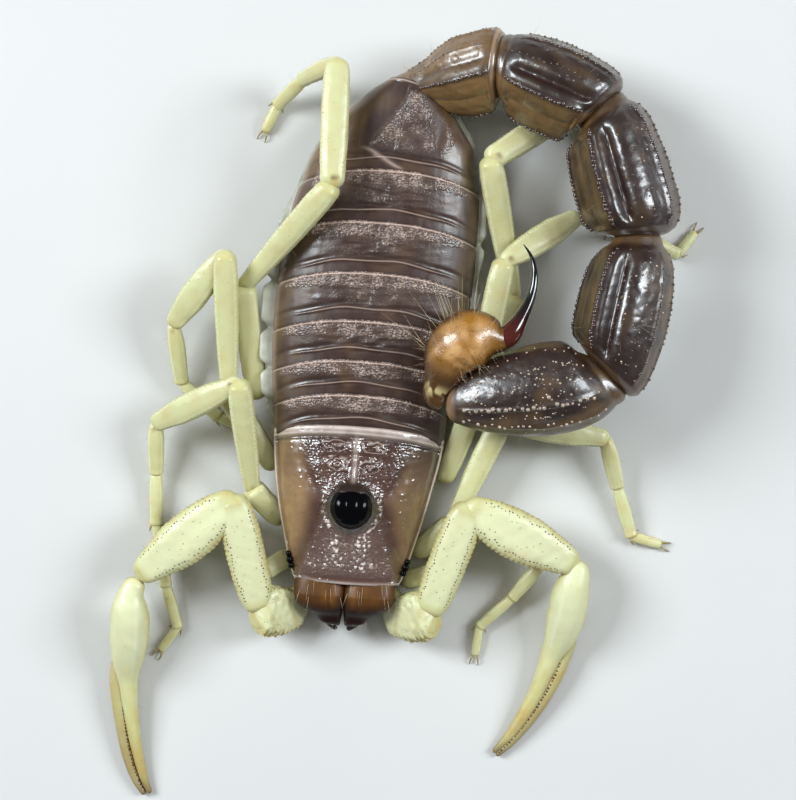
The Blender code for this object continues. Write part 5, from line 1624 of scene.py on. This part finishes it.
def build_tail():
    """Five keeled tail segments with their beads."""
    joints = walk(TAIL_START, [s[0] for s in TAIL_SEGMENTS], [(s[1], s[2]) for s in TAIL_SEGMENTS])
    runs = [unit(b - a) for a, b in zip(joints, joints[1:])]
    for index in range(5):
        tube = tail_tube(index, joints, runs)
        skin = Skin()
        skin.add_tube(tube, *TAIL_GRID, crowd=0.35)
        skin.build(f"tail_ring_{index + 1}", "Tail shell", "tail_shell", f"tail_segment_{index + 1}")
        for k, (angle, _, count, size) in enumerate(TAIL_KEELS[index]):
            for sign in (1.0, -1.0):
                bead_row(tube, TAIL_BEADS, count, sign * math.radians(angle), size,
                         800 + 20 * index + 2 * k + (sign > 0), reach=(0.15, 0.9),
                         tone=TAIL_BEAD_TONES[index], jitter=TAIL_BEAD_JITTERS[index], sink=0.3)
        # Nodules; their paler tones are pale granules with painted glints on them.
        rng = np.random.default_rng(850 + index)
        count = TAIL_NODULES[index]
        t = rng.uniform(0.2, 0.88, count)
        turn = np.radians(rng.uniform(66.0, 136.0, count)) * rng.choice((-1.0, 1.0), count)
        outward = tube.facing(t, turn)
        sizes = rng.uniform(0.04, 0.085, count)
        TAIL_BEADS.add(tube.at(t, turn) - outward * (sizes * 0.4)[:, None], outward, sizes,
                       rng.uniform(0.0, TAIL_NODULE_TONES[index], count))
        sprinkle(tube, "tail", 18, 1.1, 870 + index, index + 1)
    build_telson()
    grow_beads(TAIL_BEADS, "tail_beads", "Tail beads", "tail_shell")


def build_telson():
    """Swollen bulb folded back along the tail on its short stalk, and the curved sting."""
    path, girth, length = measured(BULB_PATH)
    neck = 0.27

    def shape(t, turn):
        size = through(t, girth) * rounded(t, 0.03, 0.012)
        points = together(np.sin(turn), np.cos(turn), t * 5.0)
        nodules = grains(t * length, turn * 1.2, 0.36, 901, 0.34, 0.6)
        lumps = 1.0 + 0.006 * waves(points, 0.6, 900) + 0.006 * nodules
        mottles = held(0.55 + 0.5 * waves(points, 0.7, 902))
        top = step(np.cos(turn), 0.15, 0.8)
        body = step(t, neck, neck + 0.15)
        fields = {
            # A painted highlight, pale peach over the top of the bulb.
            "tone": 0.8 * mottles * body * step(np.cos(turn), 0.3, 1.0) * fall(t, 0.8, 0.95),
            # Dark stalk, mottles and sting end, with painted shade on the sides and underside.
            "dark": np.clip(0.85 * fall(t, neck - 0.02, neck + 0.25) + 0.75 * (1.0 - top) * body
                            + 0.35 * step(waves(points, 0.9, 903), 0.3, 1.0) * body
                            + 0.7 * step(t, 0.84, 1.0), 0.0, 0.9),
            "pale": (0.75 * bump(t, 0.16, 0.045) * step(np.cos(turn), 0.3, 0.9)
                     * step(waves(points, 0.5, 904), -0.6, 0.6)),
            "grain": 0.25,
        }
        return size * lumps * np.sin(turn), 0.94 * size * lumps * np.cos(turn), fields

    tube = Tube(path, UP, shape)
    skin = Skin()
    skin.add_tube(tube, rings=150, sides=96, crowd=0.1)
    skin.build("poison_bulb", "Bulb shell", "bulb", "telson_bulb")
    rng = np.random.default_rng(910)
    for count, low, high, length_mm in ((90, 0.3, 0.95, 0.7), (30, 0.4, 0.85, 2.7)):
        t = rng.uniform(low, high, count)
        turn = rng.uniform(-2.2, 2.2, count) if length_mm < 2.0 else rng.uniform(-1.9, -0.2, count)
        outward = tube.facing(t, turn)
        lean = np.array((0.1, 0.5, 0.1)) if length_mm > 2.0 else np.zeros(3)
        facings = unit(outward + lean + 0.12 * rng.normal(size=(count, 3)))
        patches = together(t * 0.98, (6.0 + (turn % math.tau) / math.tau) / BRISTLE_STRIPS)
        sizes = length_mm * rng.uniform(0.6, 1.3, count)
        BRISTLES["tail"].add(tube.at(t, turn), facings, sizes, 0.1, patches)
    sting_path, sting_girth, _ = measured(STING_PATH)

    def sting_shape(t, turn):
        size = through(t, sting_girth) * rounded(t, 0.03, 0.01)
        fields = {"tone": fall(t, 0.05, 0.4), "dark": step(t, 0.3, 0.7)}
        return size * np.sin(turn), size * np.cos(turn), fields

    skin = Skin()
    skin.add_tube(Tube(sting_path, UP, sting_shape), rings=90, sides=40, crowd=0.1)
    skin.build("sting_spine", "Sting shell", "sting", "telson_sting")


# ---------------------------------------------------------------- groups of pieces

def build_legs():
    """Eight walking legs."""
    for side, _ in SIDES:
        for number in (1, 2, 3, 4):
            build_leg(side, number)


def build_arms():
    """Both pincer arms."""
    for side, _ in SIDES:
        build_arm(side)


def build_bristles():
    """Beads of the limbs, and the bristles of every part."""
    grow_beads(LIMB_BEADS, "limb_beads", "Limb beads", "limb")
    for group, slot in (("head", "jaw"), ("arms", "limb"), ("legs", "limb"), ("tail", "tail_shell")):
        grow_bristles(BRISTLES[group], f"bristles_{group}", slot)


# ---------------------------------------------------------------- stage

CAMERA_PLACE = (2.294, 6.582)
CAMERA_HEIGHT = 150.0
CAMERA_TURN = 4.3
CAMERA_LENS = 109.5
CAMERA_SENSOR = 36.0
CAMERA_RANGE = (0.001, 10.0)
FLOOR_HALF_SIZE = 400.0
LIGHT_AIM = (2.3, 6.6, 4.0)
AIR_COLOUR = (0.92, 0.96, 1.0, 1.0)
# Soft lights: name, place, size across and along, watts, colour, and whether the shell mirrors it.
LIGHTS = (
    ("left_panel", (-205.0, 75.0, 190.0), (92.0, 140.0), 0.95, (0.88, 0.95, 1.0), True),
    ("right_panel", (215.0, 75.0, 190.0), (86.0, 140.0), 0.72, (0.88, 0.95, 1.0), True),
    ("overhead_panel", (0.0, 90.0, 300.0), (260.0, 200.0), 0.2, (1.0, 0.97, 0.92), False),
)


def floor_material():
    """Pale matt card with a faint mottle."""
    material = bpy.data.materials.new("Pale card")
    material.use_nodes = True
    tree = material.node_tree
    shader = tree.nodes["Principled BSDF"]
    place = wire(tree, "ShaderNodeTexCoord").outputs["Object"]
    cloud = wire(tree, "ShaderNodeTexNoise", None, {"Vector": place, "Scale": 40.0, "Detail": 6.0})
    colour = mixed(tree, cloud.outputs["Fac"], opaque(linear(196, 196, 194)), opaque(linear(206, 205, 202)))
    tree.links.new(colour, shader.inputs["Base Color"])
    fibre = wire(tree, "ShaderNodeTexNoise", None, {"Vector": place, "Scale": 3000.0, "Detail": 3.0})
    bumps = wire(tree, "ShaderNodeBump", None, {
        "Height": fibre.outputs["Fac"], "Distance": 0.01 * MM, "Strength": 0.4})
    tree.links.new(bumps.outputs["Normal"], shader.inputs["Normal"])
    shader.inputs["Roughness"].default_value = 0.85
    return material


def build_stage():
    """Pale floor, soft lights and the camera that looks straight down."""
    half = FLOOR_HALF_SIZE * MM
    mesh = bpy.data.meshes.new("floor_card")
    mesh.from_pydata([(-half, -half, 0.0), (half, -half, 0.0), (half, half, 0.0), (-half, half, 0.0)], [],
                     [(0, 1, 2, 3)])
    mesh.materials.append(floor_material())
    floor = show("floor_card", mesh)
    for name, place, size, power, colour, mirrored in LIGHTS:
        data = bpy.data.lights.new(name, "AREA")
        data.shape = "RECTANGLE"
        data.size = size[0] * MM
        data.size_y = size[1] * MM
        data.energy = power
        data.color = colour
        light = show(name, data)
        light.location = np.array(place) * MM + ORIGIN
        light.visible_glossy = mirrored
        aim = Vector(ORIGIN + np.array(LIGHT_AIM) * MM) - light.location
        light.rotation_mode = "QUATERNION"
        light.rotation_quaternion = aim.to_track_quat("-Z", "Y")
    world = bpy.data.worlds.new("studio_air")
    world.use_nodes = True
    air = world.node_tree.nodes["Background"].inputs
    air["Color"].default_value = AIR_COLOUR
    air["Strength"].default_value = bpy.context.scene.scorpion_sizes.air_light
    bpy.context.scene.world = world
    data = bpy.data.cameras.new("camera")
    data.sensor_width = CAMERA_SENSOR
    data.lens = CAMERA_LENS
    data.clip_start, data.clip_end = CAMERA_RANGE
    camera = show("camera", data)
    camera.location = ORIGIN + np.array((*CAMERA_PLACE, CAMERA_HEIGHT)) * MM
    camera.rotation_euler = (0.0, 0.0, math.radians(CAMERA_TURN))
    bpy.context.scene.camera = camera
    bpy.context.scene.view_settings.view_transform = "Standard"


# ---------------------------------------------------------------- add-on

def colour_property(name, description, default):
    """A colour setting."""
    return bpy.props.FloatVectorProperty(name=name, description=description, default=default, subtype="COLOR",
                                         min=0.0, max=1.0)


class ScorpionColours(bpy.types.PropertyGroup):
    """Main colours of the scorpion."""
    shell: colour_property("Back", "Dark shell of the head shield and back plates", linear(56, 37, 30))
    shell_side: colour_property("Back sides", "Lighter shell over the sides", linear(118, 92, 62))
    skin: colour_property("Side skin", "Soft skin between the plates", linear(166, 167, 152))
    tail: colour_property("Tail", "Dark shell of the tail", linear(36, 21, 15))
    tail_face: colour_property("Tail inner face", "Amber face on the inside of the tail",
                               linear(134, 102, 60))
    limb: colour_property("Limbs", "Pale shell of the legs and pincer arms", linear(198, 193, 141))
    limb_warm: colour_property("Limb ends", "Warmer shell at joints and on the fingers", linear(190, 166, 96))
    jaw: colour_property("Jaws", "Shell of the jaws", linear(86, 54, 22))
    bulb: colour_property("Bulb", "Amber shell of the poison bulb", linear(152, 102, 24))
    cream: colour_property("Cream", "Pale tips and nodules", linear(228, 220, 190))


class ScorpionSizes(bpy.types.PropertyGroup):
    """Main sizes of the fine parts."""
    bristle_thickness: bpy.props.FloatProperty(
        name="Bristle thickness", description="Thickness of a bristle at its root", default=0.000009,
        min=0.000005, max=0.0001, unit="LENGTH")
    bristle_bend: bpy.props.FloatProperty(
        name="Bristle bend", description="How far a bristle leans over towards its tip", default=4.0)
    air_light: bpy.props.FloatProperty(
        name="Air light", description="Brightness of the soft light from all round", default=0.15, min=0.0)


class BuildOperator:
    """What the building operators share."""
    bl_options = {"REGISTER", "UNDO"}
    build = None

    def execute(self, context):
        type(self).build()
        return {"FINISHED"}


class SCORPION_OT_shield(BuildOperator, bpy.types.Operator):
    """Build the head shield"""
    bl_idname = "scorpion.shield"
    bl_label = "Head shield"
    build = staticmethod(build_shield)


class SCORPION_OT_eyes(BuildOperator, bpy.types.Operator):
    """Build the middle and corner eyes"""
    bl_idname = "scorpion.eyes"
    bl_label = "Eyes"
    build = staticmethod(build_eyes)


class SCORPION_OT_jaws(BuildOperator, bpy.types.Operator):
    """Build the jaws and their fingers"""
    bl_idname = "scorpion.jaws"
    bl_label = "Jaws"
    build = staticmethod(build_jaws)


class SCORPION_OT_plates(BuildOperator, bpy.types.Operator):
    """Build the seven back plates"""
    bl_idname = "scorpion.plates"
    bl_label = "Back plates"
    build = staticmethod(build_plates)


class SCORPION_OT_trunk_skin(BuildOperator, bpy.types.Operator):
    """Build the soft sides and the belly"""
    bl_idname = "scorpion.trunk_skin"
    bl_label = "Trunk skin"
    build = staticmethod(build_trunk_skin)


class SCORPION_OT_underside(BuildOperator, bpy.types.Operator):
    """Build the breastbone, coxae and combs"""
    bl_idname = "scorpion.underside"
    bl_label = "Underside"
    build = staticmethod(build_underside)


class SCORPION_OT_legs(BuildOperator, bpy.types.Operator):
    """Build the eight walking legs"""
    bl_idname = "scorpion.legs"
    bl_label = "Legs"
    build = staticmethod(build_legs)


class SCORPION_OT_arms(BuildOperator, bpy.types.Operator):
    """Build the two pincer arms"""
    bl_idname = "scorpion.arms"
    bl_label = "Pincer arms"
    build = staticmethod(build_arms)


class SCORPION_OT_tail(BuildOperator, bpy.types.Operator):
    """Build the tail, its beads, the bulb and the sting"""
    bl_idname = "scorpion.tail"
    bl_label = "Tail"
    build = staticmethod(build_tail)


class SCORPION_OT_bristles(BuildOperator, bpy.types.Operator):
    """Set the beads and bristles gathered from the other pieces"""
    bl_idname = "scorpion.bristles"
    bl_label = "Beads and bristles"
    build = staticmethod(build_bristles)


class SCORPION_OT_stage(BuildOperator, bpy.types.Operator):
    """Build the floor, the lights and the camera"""
    bl_idname = "scorpion.stage"
    bl_label = "Stage"
    build = staticmethod(build_stage)


OPERATORS = (
    SCORPION_OT_shield, SCORPION_OT_eyes, SCORPION_OT_jaws, SCORPION_OT_plates, SCORPION_OT_trunk_skin,
    SCORPION_OT_underside, SCORPION_OT_legs, SCORPION_OT_arms, SCORPION_OT_tail, SCORPION_OT_bristles,
    SCORPION_OT_stage,
)


class SCORPION_PT_panel(bpy.types.Panel):
    """Sidebar panel with the settings and one button for each group of pieces"""
    bl_idname = "SCORPION_PT_panel"
    bl_label = "Desert scorpion"
    bl_space_type = "VIEW_3D"
    bl_region_type = "UI"
    bl_category = "Scorpion"

    def draw(self, context):
        column = self.layout.column()
        for group in (context.scene.scorpion_sizes, context.scene.scorpion_colours):
            for name in group.__annotations__:
                column.prop(group, name)
        for operator in OPERATORS:
            column.operator(operator.bl_idname)


CLASSES = (ScorpionColours, ScorpionSizes, *OPERATORS, SCORPION_PT_panel)


def register():
    """Register the settings, operators and panel."""
    for item in CLASSES:
        bpy.utils.register_class(item)
    bpy.types.Scene.scorpion_colours = bpy.props.PointerProperty(type=ScorpionColours)
    bpy.types.Scene.scorpion_sizes = bpy.props.PointerProperty(type=ScorpionSizes)


def unregister():
    """Take the settings, operators and panel away again."""
    del bpy.types.Scene.scorpion_sizes
    del bpy.types.Scene.scorpion_colours
    for item in reversed(CLASSES):
        bpy.utils.unregister_class(item)


def main():
    """Build every piece in order."""
    register()
    for operator in OPERATORS:
        group, name = operator.bl_idname.split(".")
        getattr(getattr(bpy.ops, group), name)()


if __name__ == "__main__":
    main()
